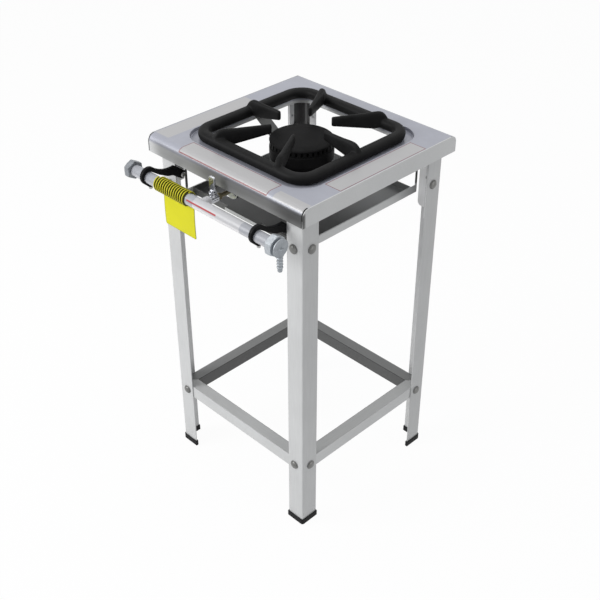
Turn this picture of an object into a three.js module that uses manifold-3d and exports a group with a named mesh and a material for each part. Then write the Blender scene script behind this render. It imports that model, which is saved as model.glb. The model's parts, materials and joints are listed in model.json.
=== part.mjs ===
// A single-ring propane burner stand: a folded steel top on four angle legs, with a cast-iron grate and
// burner, a drip tray on rails, and a gas pipe with its valve along the front.
// Millimetres, +Z up. x runs to the right, the gas pipe is at the front (-y), the feet stand on z = 0.
// Everything is first laid out about the middle of the stand, and the whole is then moved so that the
// origin lies under the centre of its bounding box.

import * as THREE from 'three';
import { mergeVertices } from 'three/addons/utils/BufferGeometryUtils.js';
import Module from 'manifold-3d';

const wasm = await Module();
wasm.setup();

// ------------------------------------------------------------------ driving dimensions

// General
const seatGap = 0.3; // between pieces that seat on each other
const overshoot = 2; // how far a cutter runs past the face that it opens
const boltSides = 10; // facets of bolts and of their holes

// Top
const topWidth = 400;
const topDepth = 396;
const topHeight = 740;
const topSheet = 1.5;
const skirtHeight = 33.5;
const bendRadius = 14; // outer radius of the front and back bends
const cornerSlit = 2; // open seam between an apron and a side skirt

// Pot grate
const grateSpan = 271; // between the centre lines of opposite bars
const grateCorner = 34; // centre-line radius of the ring's corners
const barWidth = 22;
const barHeight = 20;
const fingerCount = 6;
const fingerReach = 56; // distance from the centre to a finger's tip
const fingerTipWidth = 8;
const fingerRootWidth = 13;
const fingerTipDepth = 18;
const potRestRise = 27; // pot-rest level above the top sheet
const knobRise = 1.2; // the raised knob of a finger above the pot-rest level
const knobInset = 12; // the knob's crest, inside the ring's centre line

// Pressed recess that the ring stands in
const recessMargin = 10.5; // from the ring's outer edge to the recess wall
const recessCorner = 45;
const recessDepth = 7;
const lipOutset = 1.5; // the opening's lip, outside the ring's centre line
const lipCorner = 32;
const lipDrop = 11; // height of the turned-down lip

// Legs
const legInset = 16; // from the top's outline to a leg's outer face
const legFlange = 38;
const legSheet = 2;
const legFold = 3; // outer radius of the fold
const footHeight = 13;
const footWall = 1.6;
const footPad = 3; // rubber under the leg's end

// Corner brackets between the legs and the top
const bracketSheet = 2;
const bracketShort = 35; // flange that ends inside the leg's own
const bracketFlange = 44; // flange that shows past a leg
const bracketLength = 160;
const bracketTab = 30;
const bracketRound = 9; // rounded lower corner of a flange
const pilotInset = 8; // small fixing hole to its flange's free edge
const pilotRise = 23; // the same hole above the upper bolt
const earDepth = 18; // folded ear that holds the pipe hook
const earHeight = 30;

// Lower rails, inverted channels between the legs
const railWidth = 25;
const railHeight = 28;
const railSheet = 2;
const railMiddle = 151; // height of the rails' middle line

// Bolts
const boltRadius = 3;
const boltHeadRadius = 9;
const boltHeadHeight = 5;
const nutFlats = 10;
const nutHeight = 5;
const boltOffset = 22; // from a leg's corner to its bolts
const upperBoltDrop = 94; // upper bolts under the top sheet

// Drip tray and its two hanging rails
const trayDrop = 108; // tray's rim under the top sheet
const trayDepth = 14;
const traySheet = 1.2;
const trayWidth = 289.4;
const trayLength = 290;
const trayVent = 10; // square hole in the tray's floor
const ventPlace = [-88, -103];
const pullWidth = 90; // finger pull in the middle of the tray's front wall
const pullReach = 7;
const pullLip = 6;
const runnerSheet = 1.5;
const runnerShelf = 12;
const hangerWidth = 5;
const hangerPlace = 158; // hangers' distance from the middle, front and back

// Burner
const burnerRadius = 60;
const burnerDrop = 9; // port ring's upper edge under the top sheet
const portRingHeight = 10;
const portCount = 36;
const portWidth = 3;
const portDepth = 5;
const crownRise = 5; // domed top of the cap above its ports
const cupHeight = 27;
const bowlRadius = 46;
const bowlDepth = 22;
const castWall = 5;
const capSpigot = 6; // ring under the cap, inside the cup

// Strap under the burner
const strapWidth = 28;
const strapMiddle = 24; // its centre line behind the burner's centre
const strapSheet = 2;
const strapFlat = 104; // length of its level stretch
const strapTab = 7; // upright tab against the opening's lip

// Mixing tube and air shutter, along y at the pipe's height
const mixerRadius = 13;
const mixerBore = 10;
const bellRadius = 16;
const bellWall = 3;
const bellLength = 10;
const bellTaper = 22;
const mixerSocket = 9; // length inside the burner's boss
const bossRadius = 17;
const bossReach = 12; // boss in front of the bowl
const shutterSheet = 1.5;
const tongueWidth = 8; // the shutter's finger tongue
const tongueReach = 7;

// Gas pipe
const pipeAhead = 48; // pipe's centre line in front of the front apron
const pipeDrop = 48.5; // the same line under the top sheet
const pipeRadius = 10.7;
const pipeBore = 8.5;
const pipeLeft = -178.7;
const pipeRight = 184.5;
const pipeSides = 28;
const valveBoss = 9.3; // welded boss behind the pipe
const valveBossRadius = 9;

// Fittings on the pipe
const plugFlats = 31;
const plugLength = 12.5;
const spigotLength = 10;
const unionFlats = 34;
const unionLength = 13.5;
const elbowRadius = 16.6;
const elbowLength = 7.5;
const stemInset = 4.5; // the hose tail's axis from the elbow's near end
const stemRadius = 7;
const stemDrop = 14; // plain stem under the elbow's centre
const barbDrop = 17; // first rib under the elbow's centre
const barbRadius = 5.7;
const barbCore = 4.2;
const barbBore = 2.8;
const barbRibs = 4;
const barbPitch = 5.55;
const tipLength = 6; // plain tip under the last rib

// Valve
const valveRadius = 7.5;
const valveLength = 19;
const bonnetFlats = 13;
const bonnetHeight = 5;
const spindleRadius = 3;
const gasBore = 1; // radius of the gas way through the valve and the injector
const wellDepth = 4; // spindle's well under the valve's centre line
const gripHeight = 29.5;
const gripWidth = 14;
const gripSheet = 4;
const gripRound = 4;
const injectorFlats = 12;
const injectorHex = 6;
const injectorNose = 4;
const injectorRun = 33.4; // from the valve to the mixing tube's mouth
const injectorEntry = 4; // nose inside the mouth

// Hooks that carry the pipe. Places along an arm are parts of the way from the pipe's centre line to the
// bolt at its rear end; heights are from the pipe's centre line.
const hookWidth = 7;
const hookRadius = 17; // outside of the C, a little above the pipe's own centre
const hookShift = [0.8, 2.5];
const hookFoot = 19.6; // level underside of the jaw, where the screw goes in
const hookFootFrom = -0.5;
const hookFootTo = 8.2;
const hookUnder = [[0.31, -3.3], [0.55, -12.8], [0.715, -15.6], [0.885, -25]];
const hookPeak = [0.775, 1.9];
const hookSaddle = [[0.61, -0.5], [0.4, 1.5]]; // pulls of the curve from the peak down to the C
const hookEnd = 162.8; // rear end of the arm, in front of the middle
const hookRound = 8; // radius of that end
const hookDrop = 21; // how far the arm falls towards its rear end
const screwPlace = 3.8; // the screw's axis behind the pipe's
const screwRadius = 2;
const screwHeadRadius = 3.6;
const screwHeadHeight = 4.5;

// Wound sleeve and tag on the pipe
const wrapTurns = 14;
const wrapPitch = 5.9;
const wrapWire = 1.5; // radius of the wound strand
const wrapMiddle = -69;
const wrapSteps = 16; // straight steps in a turn
const wrapSides = 6;
const tagWidth = 83;
const tagLength = 62;
const tagSheet = 0.9;
const tagLeft = -99;
const tagBow = 1.5; // pull of the tag's curve away from its flat

// ------------------------------------------------------------------ values worked out from them

const halfWidth = topWidth / 2;
const halfDepth = topDepth / 2;
const underTop = topHeight - topSheet;
const skirtBottom = topHeight - skirtHeight;
const legX = halfWidth - legInset;
const legY = halfDepth - legInset;
const grateHalf = grateSpan / 2;
const ringBottom = topHeight - recessDepth + seatGap;
const ringMiddle = ringBottom + barHeight / 2;
const potRest = topHeight + potRestRise;
const recessHalf = grateHalf + barWidth / 2 + recessMargin;
const lipHalf = grateHalf + lipOutset;
const lipInner = lipHalf - topSheet;
const boltHoleRadius = boltRadius + seatGap;
const upperBoltHeight = topHeight - upperBoltDrop;
const trayTop = topHeight - trayDrop;
const pipeHeight = topHeight - pipeDrop;
const pipeY = -(halfDepth + pipeAhead);
const bossEnd = pipeY + pipeRadius + valveBoss;
const valveY = bossEnd + seatGap + valveLength / 2;
const valveBack = valveY + valveLength / 2;
const mixerMouth = -(valveBack + seatGap + injectorRun); // in front of the middle
const burnerTop = topHeight - burnerDrop;
const burnerCupBottom = burnerTop - portRingHeight - cupHeight;
const bowlBottom = burnerCupBottom - bowlDepth;
const bossFront = -(bowlRadius + bossReach);

// ------------------------------------------------------------------ finishes

const finish = (color, roughness, metalness) => new THREE.MeshStandardMaterial({ color, roughness, metalness });
const topSteel = finish(0xb5b7c4, 0.38, 0.75);
const legSteel = finish(0xc9c9c8, 0.35, 0.8);
const traySteel = finish(0x8f9492, 0.45, 0.8);
const boltSteel = finish(0x8c8b88, 0.3, 0.9);
const castIron = finish(0x232323, 0.62, 0.3);
const rubber = finish(0x151515, 0.8, 0);
const pipePaint = finish(0xcfd0da, 0.35, 0.2);
const zincPlate = finish(0xa9adb0, 0.35, 0.85);
const chrome = finish(0xb9bac2, 0.15, 1);
const brass = finish(0xb0893f, 0.35, 0.9);
const blackPlastic = finish(0x121212, 0.5, 0);
const yellowPlastic = finish(0xc9c840, 0.5, 0);
const yellowCard = finish(0xf0ee3c, 0.7, 0);

// ------------------------------------------------------------------ solids

// Closed three.js geometry to a solid, with its faces pointing out.
function solid(geometry) {
  const bare = geometry.clone();
  for (const name of Object.keys(bare.attributes)) {
    if (name !== 'position') bare.deleteAttribute(name);
  }
  const merged = mergeVertices(bare, 1e-4);
  const at = merged.attributes.position;
  const index = merged.index.array;
  const corner = [new THREE.Vector3(), new THREE.Vector3(), new THREE.Vector3()];
  const faces = [];
  let volume = 0;
  for (let i = 0; i < index.length; i += 3) {
    const [a, b, c] = [index[i], index[i + 1], index[i + 2]];
    if (a === b || b === c || c === a) continue;
    corner.forEach((point, k) => point.fromBufferAttribute(at, index[i + k]));
    volume += corner[0].dot(corner[1].cross(corner[2]));
    faces.push(a, b, c);
  }
  if (volume < 0) {
    for (let i = 0; i < faces.length; i += 3) [faces[i], faces[i + 1]] = [faces[i + 1], faces[i]];
  }
  const vertProperties = Float32Array.from(at.array.slice(0, at.count * 3));
  return new wasm.Manifold(new wasm.Mesh({ numProp: 3, vertProperties, triVerts: Uint32Array.from(faces) }));
}

// Solid back to a three.js geometry.
function surface(body) {
  const mesh = body.getMesh();
  const geometry = new THREE.BufferGeometry();
  const points = new Float32Array(mesh.numVert * 3);
  for (let i = 0; i < mesh.numVert; i++) {
    for (let k = 0; k < 3; k++) points[3 * i + k] = mesh.vertProperties[mesh.numProp * i + k];
  }
  geometry.setAttribute('position', new THREE.BufferAttribute(points, 3));
  geometry.setIndex(Array.from(mesh.triVerts));
  geometry.computeVertexNormals();
  return geometry;
}

const union = (...bodies) => bodies.reduce((all, body) => all.add(body));
const without = (body, ...cutters) => cutters.reduce((rest, cutter) => rest.subtract(cutter), body);

// A box between two corners.
function block(x0, x1, y0, y1, z0, z1) {
  const box = new THREE.BoxGeometry(x1 - x0, y1 - y0, z1 - z0);
  return solid(box.translate((x0 + x1) / 2, (y0 + y1) / 2, (z0 + z1) / 2));
}

// An outline in x and y, raised from z0 to z1.
function raised(shape, z0, z1, curveSegments = 8) {
  const options = { depth: z1 - z0, bevelEnabled: false, curveSegments };
  return solid(new THREE.ExtrudeGeometry(shape, options).translate(0, 0, z0));
}

// An outline in y and z, carried along x.
function alongX(shape, x0, x1, curveSegments = 8) {
  const geometry = new THREE.ExtrudeGeometry(shape, { depth: x1 - x0, bevelEnabled: false, curveSegments });
  const turn = new THREE.Matrix4().set(0, 0, 1, x0, 1, 0, 0, 0, 0, 1, 0, 0, 0, 0, 0, 1);
  return solid(geometry.applyMatrix4(turn));
}

// An outline in x and z, carried along y.
function alongY(shape, y0, y1, curveSegments = 8) {
  const geometry = new THREE.ExtrudeGeometry(shape, { depth: y1 - y0, bevelEnabled: false, curveSegments });
  const turn = new THREE.Matrix4().set(1, 0, 0, 0, 0, 0, -1, y1, 0, 1, 0, 0, 0, 0, 0, 1);
  return solid(geometry.applyMatrix4(turn));
}

// A profile of [radius, place] turned about the z axis.
function turned(profile, sides) {
  const points = profile.map(([radius, place]) => new THREE.Vector2(radius, place));
  return solid(new THREE.LatheGeometry(points, sides).rotateX(Math.PI / 2));
}

const turnedX = (profile, sides) => turned(profile, sides).rotate([0, 90, 0]);
const turnedY = (profile, sides) => turned(profile, sides).rotate([-90, 0, 0]);

// Plain cylinders between two places on an axis, and hexagons with their flats up and down.
const rod = (radius, from, to, sides) => turned([[0, from], [radius, from], [radius, to], [0, to]], sides);
const rodX = (radius, from, to, sides) => rod(radius, from, to, sides).rotate([0, 90, 0]);
const rodY = (radius, from, to, sides) => rod(radius, from, to, sides).rotate([-90, 0, 0]);
const acrossCorners = (flats) => flats / 2 / Math.cos(Math.PI / 6);

function outline(points) {
  return new THREE.Shape(points.map(([a, b]) => new THREE.Vector2(a, b)));
}

function roundedSquare(halfX, halfY, radius) {
  const shape = new THREE.Shape();
  shape.absarc(halfX - radius, halfY - radius, radius, 0, Math.PI / 2);
  shape.absarc(radius - halfX, halfY - radius, radius, Math.PI / 2, Math.PI);
  shape.absarc(radius - halfX, radius - halfY, radius, Math.PI, 1.5 * Math.PI);
  shape.absarc(halfX - radius, radius - halfY, radius, 1.5 * Math.PI, 2 * Math.PI);
  return shape;
}

// Angle section with its outer corner at (x, y) and its flanges towards the middle.
function angleShape(x, y, flangeX, flangeY, sheet, fold) {
  const shape = new THREE.Shape();
  shape.moveTo(x - flangeX, y);
  shape.lineTo(x - flangeX, y - sheet);
  shape.lineTo(x - sheet, y - sheet);
  shape.lineTo(x - sheet, y - flangeY);
  shape.lineTo(x, y - flangeY);
  shape.absarc(x - fold, y - fold, fold, 0, Math.PI / 2);
  return shape;
}

// ------------------------------------------------------------------ the scene graph

const stand = new THREE.Group();

function place(name, body, material) {
  const mesh = new THREE.Mesh(surface(body), material);
  mesh.name = name;
  stand.add(mesh);
}

// The four corners of the stand, as the side of each axis that they lie on.
const corners = [
  { side: 'front_left', sx: -1, sy: -1 },
  { side: 'front_right', sx: 1, sy: -1 },
  { side: 'back_left', sx: -1, sy: 1 },
  { side: 'back_right', sx: 1, sy: 1 },
];

// A solid made for the corner at +x, +y, mirrored into another corner.
function atCorner(body, { sx, sy }) {
  let mirrored = body;
  if (sx < 0) mirrored = mirrored.mirror([1, 0, 0]);
  if (sy < 0) mirrored = mirrored.mirror([0, 1, 0]);
  return mirrored;
}

// ------------------------------------------------------------------ folded top

function foldedTop() {
  const apron = new THREE.Shape();
  apron.absarc(bendRadius - halfDepth, topHeight - bendRadius, bendRadius, Math.PI, Math.PI / 2, true);
  apron.absarc(halfDepth - bendRadius, topHeight - bendRadius, bendRadius, Math.PI / 2, 0, true);
  apron.lineTo(halfDepth, skirtBottom);
  apron.lineTo(halfDepth - topSheet, skirtBottom);
  const inner = bendRadius - topSheet;
  apron.absarc(halfDepth - bendRadius, topHeight - bendRadius, inner, 0, Math.PI / 2);
  apron.absarc(bendRadius - halfDepth, topHeight - bendRadius, inner, Math.PI / 2, Math.PI);
  apron.lineTo(topSheet - halfDepth, skirtBottom);
  apron.lineTo(-halfDepth, skirtBottom);
  const apronEnd = halfWidth - topSheet - cornerSlit;

  const skirt = new THREE.Shape();
  skirt.absarc(bendRadius - halfDepth, topHeight - bendRadius, bendRadius, Math.PI, Math.PI / 2, true);
  skirt.absarc(halfDepth - bendRadius, topHeight - bendRadius, bendRadius, Math.PI / 2, 0, true);
  skirt.lineTo(halfDepth, skirtBottom);
  skirt.lineTo(-halfDepth, skirtBottom);

  const flat = halfDepth - bendRadius;
  const shell = union(
    alongX(apron, -apronEnd, apronEnd),
    alongX(skirt, halfWidth - topSheet, halfWidth),
    alongX(skirt, -halfWidth, topSheet - halfWidth),
    block(-halfWidth, halfWidth, -flat, flat, underTop, topHeight),
  );

  // The recess that the grate stands in, and the turned-down lip of the opening inside it.
  const recessFloor = topHeight - recessDepth;
  const pan = raised(
    roundedSquare(recessHalf + topSheet, recessHalf + topSheet, recessCorner + topSheet),
    recessFloor - topSheet, topHeight,
  );
  const lip = raised(roundedSquare(lipHalf, lipHalf, lipCorner), recessFloor - lipDrop, recessFloor);
  const dish = raised(roundedSquare(recessHalf, recessHalf, recessCorner), recessFloor, topHeight + overshoot);
  const hole = raised(
    roundedSquare(lipInner, lipInner, lipCorner - topSheet),
    recessFloor - lipDrop - overshoot, topHeight + overshoot,
  );
  return without(union(shell, pan, lip), dish, hole);
}

place('top_sheet', foldedTop(), topSteel);

// ------------------------------------------------------------------ legs, feet and corner brackets

const legTop = underTop - seatGap;
const legBottom = footPad + seatGap;

// Bolt places on a corner: on the flange that faces x and on the flange that faces y.
const boltPlaces = [
  { level: 'upper', height: upperBoltHeight },
  { level: 'lower', height: railMiddle },
];

// Drill for a bolt along x or y through both sheets of the corner at +x, +y.
function boltDrill(axis, height, radius = boltHoleRadius) {
  const from = -(legSheet + bracketSheet + nutHeight + overshoot);
  const drill = rod(radius, from, overshoot, boltSides);
  if (axis === 'x') return drill.rotate([0, 90, 0]).translate([legX, legY - boltOffset, height]);
  return drill.rotate([-90, 0, 0]).translate([legX - boltOffset, legY, height]);
}

function leg() {
  const angle = raised(angleShape(legX, legY, legFlange, legFlange, legSheet, legFold), legBottom, legTop, 3);
  const drills = boltPlaces.flatMap(({ height }) => [boltDrill('x', height), boltDrill('y', height)]);
  return without(angle, ...drills);
}

function foot() {
  const proud = footWall + seatGap;
  const flange = legFlange + 2 * proud;
  const sheet = legSheet + 2 * proud;
  const outside = angleShape(legX + proud, legY + proud, flange, flange, sheet, legFold + proud);
  const inside = angleShape(
    legX + seatGap, legY + seatGap, legFlange + 2 * seatGap, legFlange + 2 * seatGap,
    legSheet + 2 * seatGap, legFold + seatGap,
  );
  return without(raised(outside, 0, footHeight, 3), raised(inside, footPad, footHeight + overshoot, 3));
}

// The brackets fill the legs' corners from the inside. At the back one flange shows past the leg; at the
// front it ends in an ear that is folded back and holds the pipe's hook.
function cornerBracket(front) {
  const x = legX - legSheet - seatGap;
  const y = legY - legSheet - seatGap;
  const top = underTop - seatGap;
  const bottom = top - bracketLength;
  const flangeX = front ? x - (legX - legFlange) : bracketFlange;
  const edge = x - flangeX;
  const angle = angleShape(x, y, flangeX, bracketShort, bracketSheet, legFold - legSheet);
  const parts = [raised(angle, bottom, top, 3)];
  parts.push(block(x - bracketTab, x, y - bracketTab, y, top - bracketSheet, top));
  // Small fixing holes near the free edges.
  const pilotHeight = upperBoltHeight + pilotRise;
  const pilot = rod(hookBoltRadius, -overshoot - bracketSheet, overshoot, boltSides);
  const cutters = [boltDrill('x', upperBoltHeight), boltDrill('y', upperBoltHeight)];
  cutters.push(pilot.rotate([0, 90, 0]).translate([x, y - bracketShort + pilotInset, pilotHeight]));
  if (front) {
    const earMiddle = hookBolt.z;
    parts.push(block(
      edge, edge + bracketSheet, y - earDepth, y, earMiddle - earHeight / 2, earMiddle + earHeight / 2,
    ));
    const drill = rod(hookBoltRadius + seatGap, -overshoot, bracketSheet + overshoot, boltSides);
    cutters.push(drill.rotate([0, 90, 0]).translate([edge, -hookBolt.y, hookBolt.z]));
  } else {
    cutters.push(pilot.rotate([-90, 0, 0]).translate([edge + pilotInset, y, pilotHeight]));
    cutters.push(roundedEnd(bottom, edge).translate([0, y - bracketSheet - overshoot, 0]));
  }
  return without(union(...parts), ...cutters);
}

// Cutter that rounds the lower free corner of a flange that lies in the x-z plane.
function roundedEnd(bottom, edge) {
  const inner = edge + bracketRound;
  const shape = outline([[edge - overshoot, bottom - overshoot], [inner, bottom - overshoot]]);
  shape.lineTo(inner, bottom);
  shape.absarc(inner, bottom + bracketRound, bracketRound, 1.5 * Math.PI, Math.PI, true);
  shape.lineTo(edge - overshoot, bottom + bracketRound);
  return alongY(shape, 0, bracketSheet + 2 * overshoot);
}

// The bolt that holds a hook's arm to its ear.
const hookBoltRadius = 2.5;
const hookBolt = { y: -(hookEnd + 8), z: pipeHeight - hookDrop };

for (const corner of corners) {
  place(`leg_${corner.side}`, atCorner(leg(), corner), legSteel);
  place(`foot_${corner.side}`, atCorner(foot(), corner), rubber);
  place(`corner_bracket_${corner.side}`, atCorner(cornerBracket(corner.sy < 0), corner), legSteel);
}

// ------------------------------------------------------------------ lower rails

// Inverted channels against the insides of the legs, mitred where they meet.
function lowerRail(along) {
  const outer = (along === 'x' ? legY : legX) - legSheet - seatGap;
  const end = (along === 'x' ? legX : legY) - legSheet - seatGap;
  const z0 = railMiddle - railHeight / 2;
  const z1 = railMiddle + railHeight / 2;
  const channel = outline([
    [outer, z0], [outer, z1], [outer - railWidth, z1], [outer - railWidth, z0],
    [outer - railWidth + railSheet, z0], [outer - railWidth + railSheet, z1 - railSheet],
    [outer - railSheet, z1 - railSheet], [outer - railSheet, z0],
  ]);
  // Made along x at +y, then cut back at both ends along the mitre, which runs at 45 degrees.
  let rail = alongX(channel, -end, end);
  const miss = seatGap / 2 * Math.SQRT2;
  for (const side of [-1, 1]) {
    const mitre = outline([
      [side * (end - miss), outer], [side * (end - miss - railWidth - overshoot), outer - railWidth - overshoot],
      [side * (end + overshoot), outer - railWidth - overshoot], [side * (end + overshoot), outer],
    ]);
    rail = rail.subtract(raised(mitre, z0 - overshoot, z1 + overshoot));
  }
  for (const side of [-1, 1]) {
    const reach = (along === 'x' ? legX : legY) - boltOffset;
    rail = rail.subtract(rodY(boltHoleRadius, outer - railSheet - overshoot, outer + overshoot, boltSides)
      .translate([side * reach, 0, railMiddle]));
  }
  return rail;
}

place('lower_rail_back', lowerRail('x'), legSteel);
place('lower_rail_front', lowerRail('x').rotate([0, 0, 180]), legSteel);
place('lower_rail_left', lowerRail('y').rotate([0, 0, 90]), legSteel);
place('lower_rail_right', lowerRail('y').rotate([0, 0, -90]), legSteel);

// ------------------------------------------------------------------ leg bolts

// Domed bolt with its nut, its head's seat at zero and its shank towards -z.
function domedBolt() {
  const grip = legSheet + bracketSheet + 2 * seatGap;
  const end = -(grip + nutHeight + 1.5);
  const profile = [[0, end], [boltRadius, end], [boltRadius, seatGap], [boltHeadRadius, seatGap]];
  const steps = 3;
  for (let i = 0; i <= steps; i++) {
    const turn = i / steps * Math.PI / 2;
    const radius = boltHeadRadius * Math.cos(turn);
    profile.push([i === steps ? 0 : radius, seatGap + 1 + (boltHeadHeight - 1) * Math.sin(turn)]);
  }
  const nut = new THREE.CylinderGeometry(acrossCorners(nutFlats), acrossCorners(nutFlats), nutHeight, 6);
  return turned(profile, boltSides).add(solid(nut.rotateX(Math.PI / 2)).translate([0, 0, -grip - nutHeight / 2]));
}

for (const corner of corners) {
  for (const { level, height } of boltPlaces) {
    const facingX = domedBolt().rotate([0, 90, 0]).translate([legX, legY - boltOffset, height]);
    const facingY = domedBolt().rotate([-90, 0, 0]).translate([legX - boltOffset, legY, height]);
    place(`bolt_${level}_${corner.side}_x`, atCorner(facingX, corner), boltSteel);
    place(`bolt_${level}_${corner.side}_y`, atCorner(facingY, corner), boltSteel);
  }
}

// ------------------------------------------------------------------ drip tray and its rails

const trayHalf = trayWidth / 2;
const trayBottom = trayTop - trayDepth;
const trayFront = -trayLength / 2;

function dripTray() {
  const outside = block(-trayHalf, trayHalf, trayFront, -trayFront, trayBottom, trayTop);
  const inside = block(
    traySheet - trayHalf, trayHalf - traySheet, trayFront + traySheet, -trayFront - traySheet,
    trayBottom + traySheet, trayTop + overshoot,
  );
  const [ventX, ventY] = ventPlace;
  const vent = block(
    ventX - trayVent / 2, ventX + trayVent / 2, ventY - trayVent / 2, ventY + trayVent / 2,
    trayBottom - overshoot, trayTop,
  );
  // Finger pull: the middle of the front wall is turned out and down.
  const turnedOut = trayFront - pullReach;
  const pull = outline([
    [trayFront, trayTop], [trayFront, trayTop - traySheet], [turnedOut, trayTop - traySheet],
    [turnedOut, trayTop - pullLip], [turnedOut - traySheet, trayTop - pullLip], [turnedOut - traySheet, trayTop],
  ]);
  return without(outside, inside, vent).add(alongX(pull, -pullWidth / 2, pullWidth / 2));
}

// A shelf under the tray's edge and an upright beside it, hung from the top by a strip at each end.
function trayRunner() {
  const face = trayHalf + seatGap;
  const low = trayBottom - seatGap - runnerSheet;
  const end = hangerPlace + hangerWidth / 2;
  const section = outline([
    [face, trayTop], [face, trayBottom - seatGap], [face - runnerShelf, trayBottom - seatGap],
    [face - runnerShelf, low], [face + runnerSheet, low], [face + runnerSheet, trayTop],
  ]);
  const hangers = [-hangerPlace, hangerPlace].map((y) => block(
    face, face + runnerSheet, y - hangerWidth / 2, y + hangerWidth / 2, low, underTop - seatGap,
  ));
  return union(alongY(section, -end, end), ...hangers);
}

place('drip_tray', dripTray(), traySteel);
place('tray_runner_right', trayRunner(), legSteel);
place('tray_runner_left', trayRunner().mirror([1, 0, 0]), legSteel);

// ------------------------------------------------------------------ burner

const burnerSides = 36;

// Cast cup with a narrower bowl under it and a boss for the mixing tube.
function burnerBody() {
  const rim = burnerTop - portRingHeight;
  const cup = turned([
    [0, bowlBottom], [bowlRadius - 8, bowlBottom], [bowlRadius, bowlBottom + 8],
    [bowlRadius, burnerCupBottom - 3], [burnerRadius - 4, burnerCupBottom], [burnerRadius, burnerCupBottom + 4],
    [burnerRadius, rim], [burnerRadius - castWall, rim],
    [burnerRadius - castWall, burnerCupBottom + castWall], [bowlRadius - castWall, burnerCupBottom + 2],
    [bowlRadius - castWall, bowlBottom + castWall + 6], [bowlRadius - castWall - 6, bowlBottom + castWall],
    [0, bowlBottom + castWall],
  ], burnerSides);
  const boss = rodY(bossRadius, bossFront, castWall - bowlRadius, 24).translate([0, 0, pipeHeight]);
  const keep = block(-bossRadius, bossRadius, bossFront, 0, bowlBottom - overshoot, burnerCupBottom + 14);
  const bore = rodY(mixerRadius + seatGap, bossFront - overshoot, bossFront + mixerSocket, 24);
  const throat = rodY(mixerBore, bossFront, -bowlRadius + castWall + 14, 24);
  return without(
    cup.add(boss.intersect(keep)),
    bore.translate([0, 0, pipeHeight]),
    throat.translate([0, 0, pipeHeight]),
    rod(burnerBoltRadius + seatGap, bowlBottom - overshoot, bowlBottom + castWall + overshoot, boltSides)
      .translate([0, strapMiddle, 0]),
  );
}

// Cap: a slotted port ring under a low dome, with a spigot ring that centres it in the cup.
function burnerCap() {
  const seat = burnerTop - portRingHeight + seatGap;
  const spigot = burnerRadius - castWall - seatGap;
  const dome = turned([
    [0, burnerTop - 3], [spigot - 6, burnerTop - 3], [spigot - 5, seat - capSpigot], [spigot, seat - capSpigot],
    [spigot, seat], [burnerRadius - 1, seat], [burnerRadius - 1, burnerTop - 1], [burnerRadius, burnerTop],
    [burnerRadius - 0.8, burnerTop + 1.8], [burnerRadius - 3.5, burnerTop + 3],
    [burnerRadius - 18, burnerTop + crownRise - 0.6], [0, burnerTop + crownRise],
  ], burnerSides);
  const slot = block(
    burnerRadius - portDepth, burnerRadius + overshoot, -portWidth / 2, portWidth / 2,
    seat + 2, burnerTop - 1.4,
  );
  const slots = Array.from({ length: portCount }, (_, i) => slot.rotate([0, 0, (i + 0.5) * 360 / portCount]));
  return without(dome, union(...slots));
}

// Bent strap under the bowl, from the opening's lip on one side to the lip on the other.
function burnerStrap() {
  const face = lipInner - seatGap;
  const tabTop = topHeight - recessDepth - seatGap;
  const flat = bowlBottom - seatGap;
  const strapPath = [
    [face, tabTop], [face, tabTop - strapTab], [strapFlat / 2, flat - strapSheet],
    [-strapFlat / 2, flat - strapSheet], [-face, tabTop - strapTab], [-face, tabTop],
    [strapSheet - face, tabTop], [strapSheet - face, tabTop - strapTab + 1], [0.6 - strapFlat / 2, flat],
    [strapFlat / 2 - 0.6, flat], [face - strapSheet, tabTop - strapTab + 1], [face - strapSheet, tabTop],
  ];
  const strap = alongY(outline(strapPath), strapMiddle - strapWidth / 2, strapMiddle + strapWidth / 2);
  const drill = rod(burnerBoltRadius + seatGap, flat - strapSheet - overshoot, flat + overshoot, boltSides);
  return strap.subtract(drill.translate([0, strapMiddle, 0]));
}

// Bolt up through the strap into the bowl, with its nut inside the bowl.
const burnerBoltRadius = 3;

function burnerBolt() {
  const under = bowlBottom - seatGap - strapSheet - seatGap;
  const nutSeat = bowlBottom + castWall + seatGap;
  const hexRadius = acrossCorners(nutFlats);
  const shank = rod(burnerBoltRadius, under - 1, nutSeat + nutHeight + 1, boltSides);
  return union(shank, rod(hexRadius, under - 4, under, 6), rod(hexRadius, nutSeat, nutSeat + nutHeight, 6))
    .translate([0, strapMiddle, 0]);
}

place('burner_body', burnerBody(), castIron);
place('burner_cap', burnerCap(), castIron);
place('burner_strap', burnerStrap(), legSteel);
place('burner_bolt', burnerBolt(), boltSteel);

// ------------------------------------------------------------------ mixing tube, shutter and injector

const noseHole = injectorNose + 1.5; // radius of the hole that the injector's nose goes through

function mixingTube() {
  const mouth = -mixerMouth;
  const inner = bossFront + mixerSocket - seatGap;
  const bell = bellRadius - bellWall;
  const tube = turnedY([
    [bellRadius, mouth], [bellRadius, mouth + bellLength], [mixerRadius, mouth + bellLength + bellTaper],
    [mixerRadius, inner], [mixerBore, inner], [mixerBore, mouth + bellLength + bellTaper],
    [bell, mouth + bellLength], [bell, mouth + bellWall], [noseHole, mouth + bellWall],
    [noseHole, mouth], [bellRadius, mouth],
  ], 24);
  return airWindows(tube, mouth - overshoot, mouth + bellWall + overshoot).translate([0, 0, pipeHeight]);
}

// Two windows in the plate between y0 and y1, left and right of the middle.
function airWindows(plate, y0, y1) {
  const half = 0.6; // half of a window's angle
  const windows = [0, Math.PI].map((middle) => {
    const shape = new THREE.Shape();
    shape.absarc(0, 0, bellRadius - bellWall, middle - half, middle + half);
    shape.absarc(0, 0, noseHole + 2, middle + half, middle - half, true);
    return alongY(shape, y0, y1, 6);
  });
  return without(plate, ...windows);
}

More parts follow.
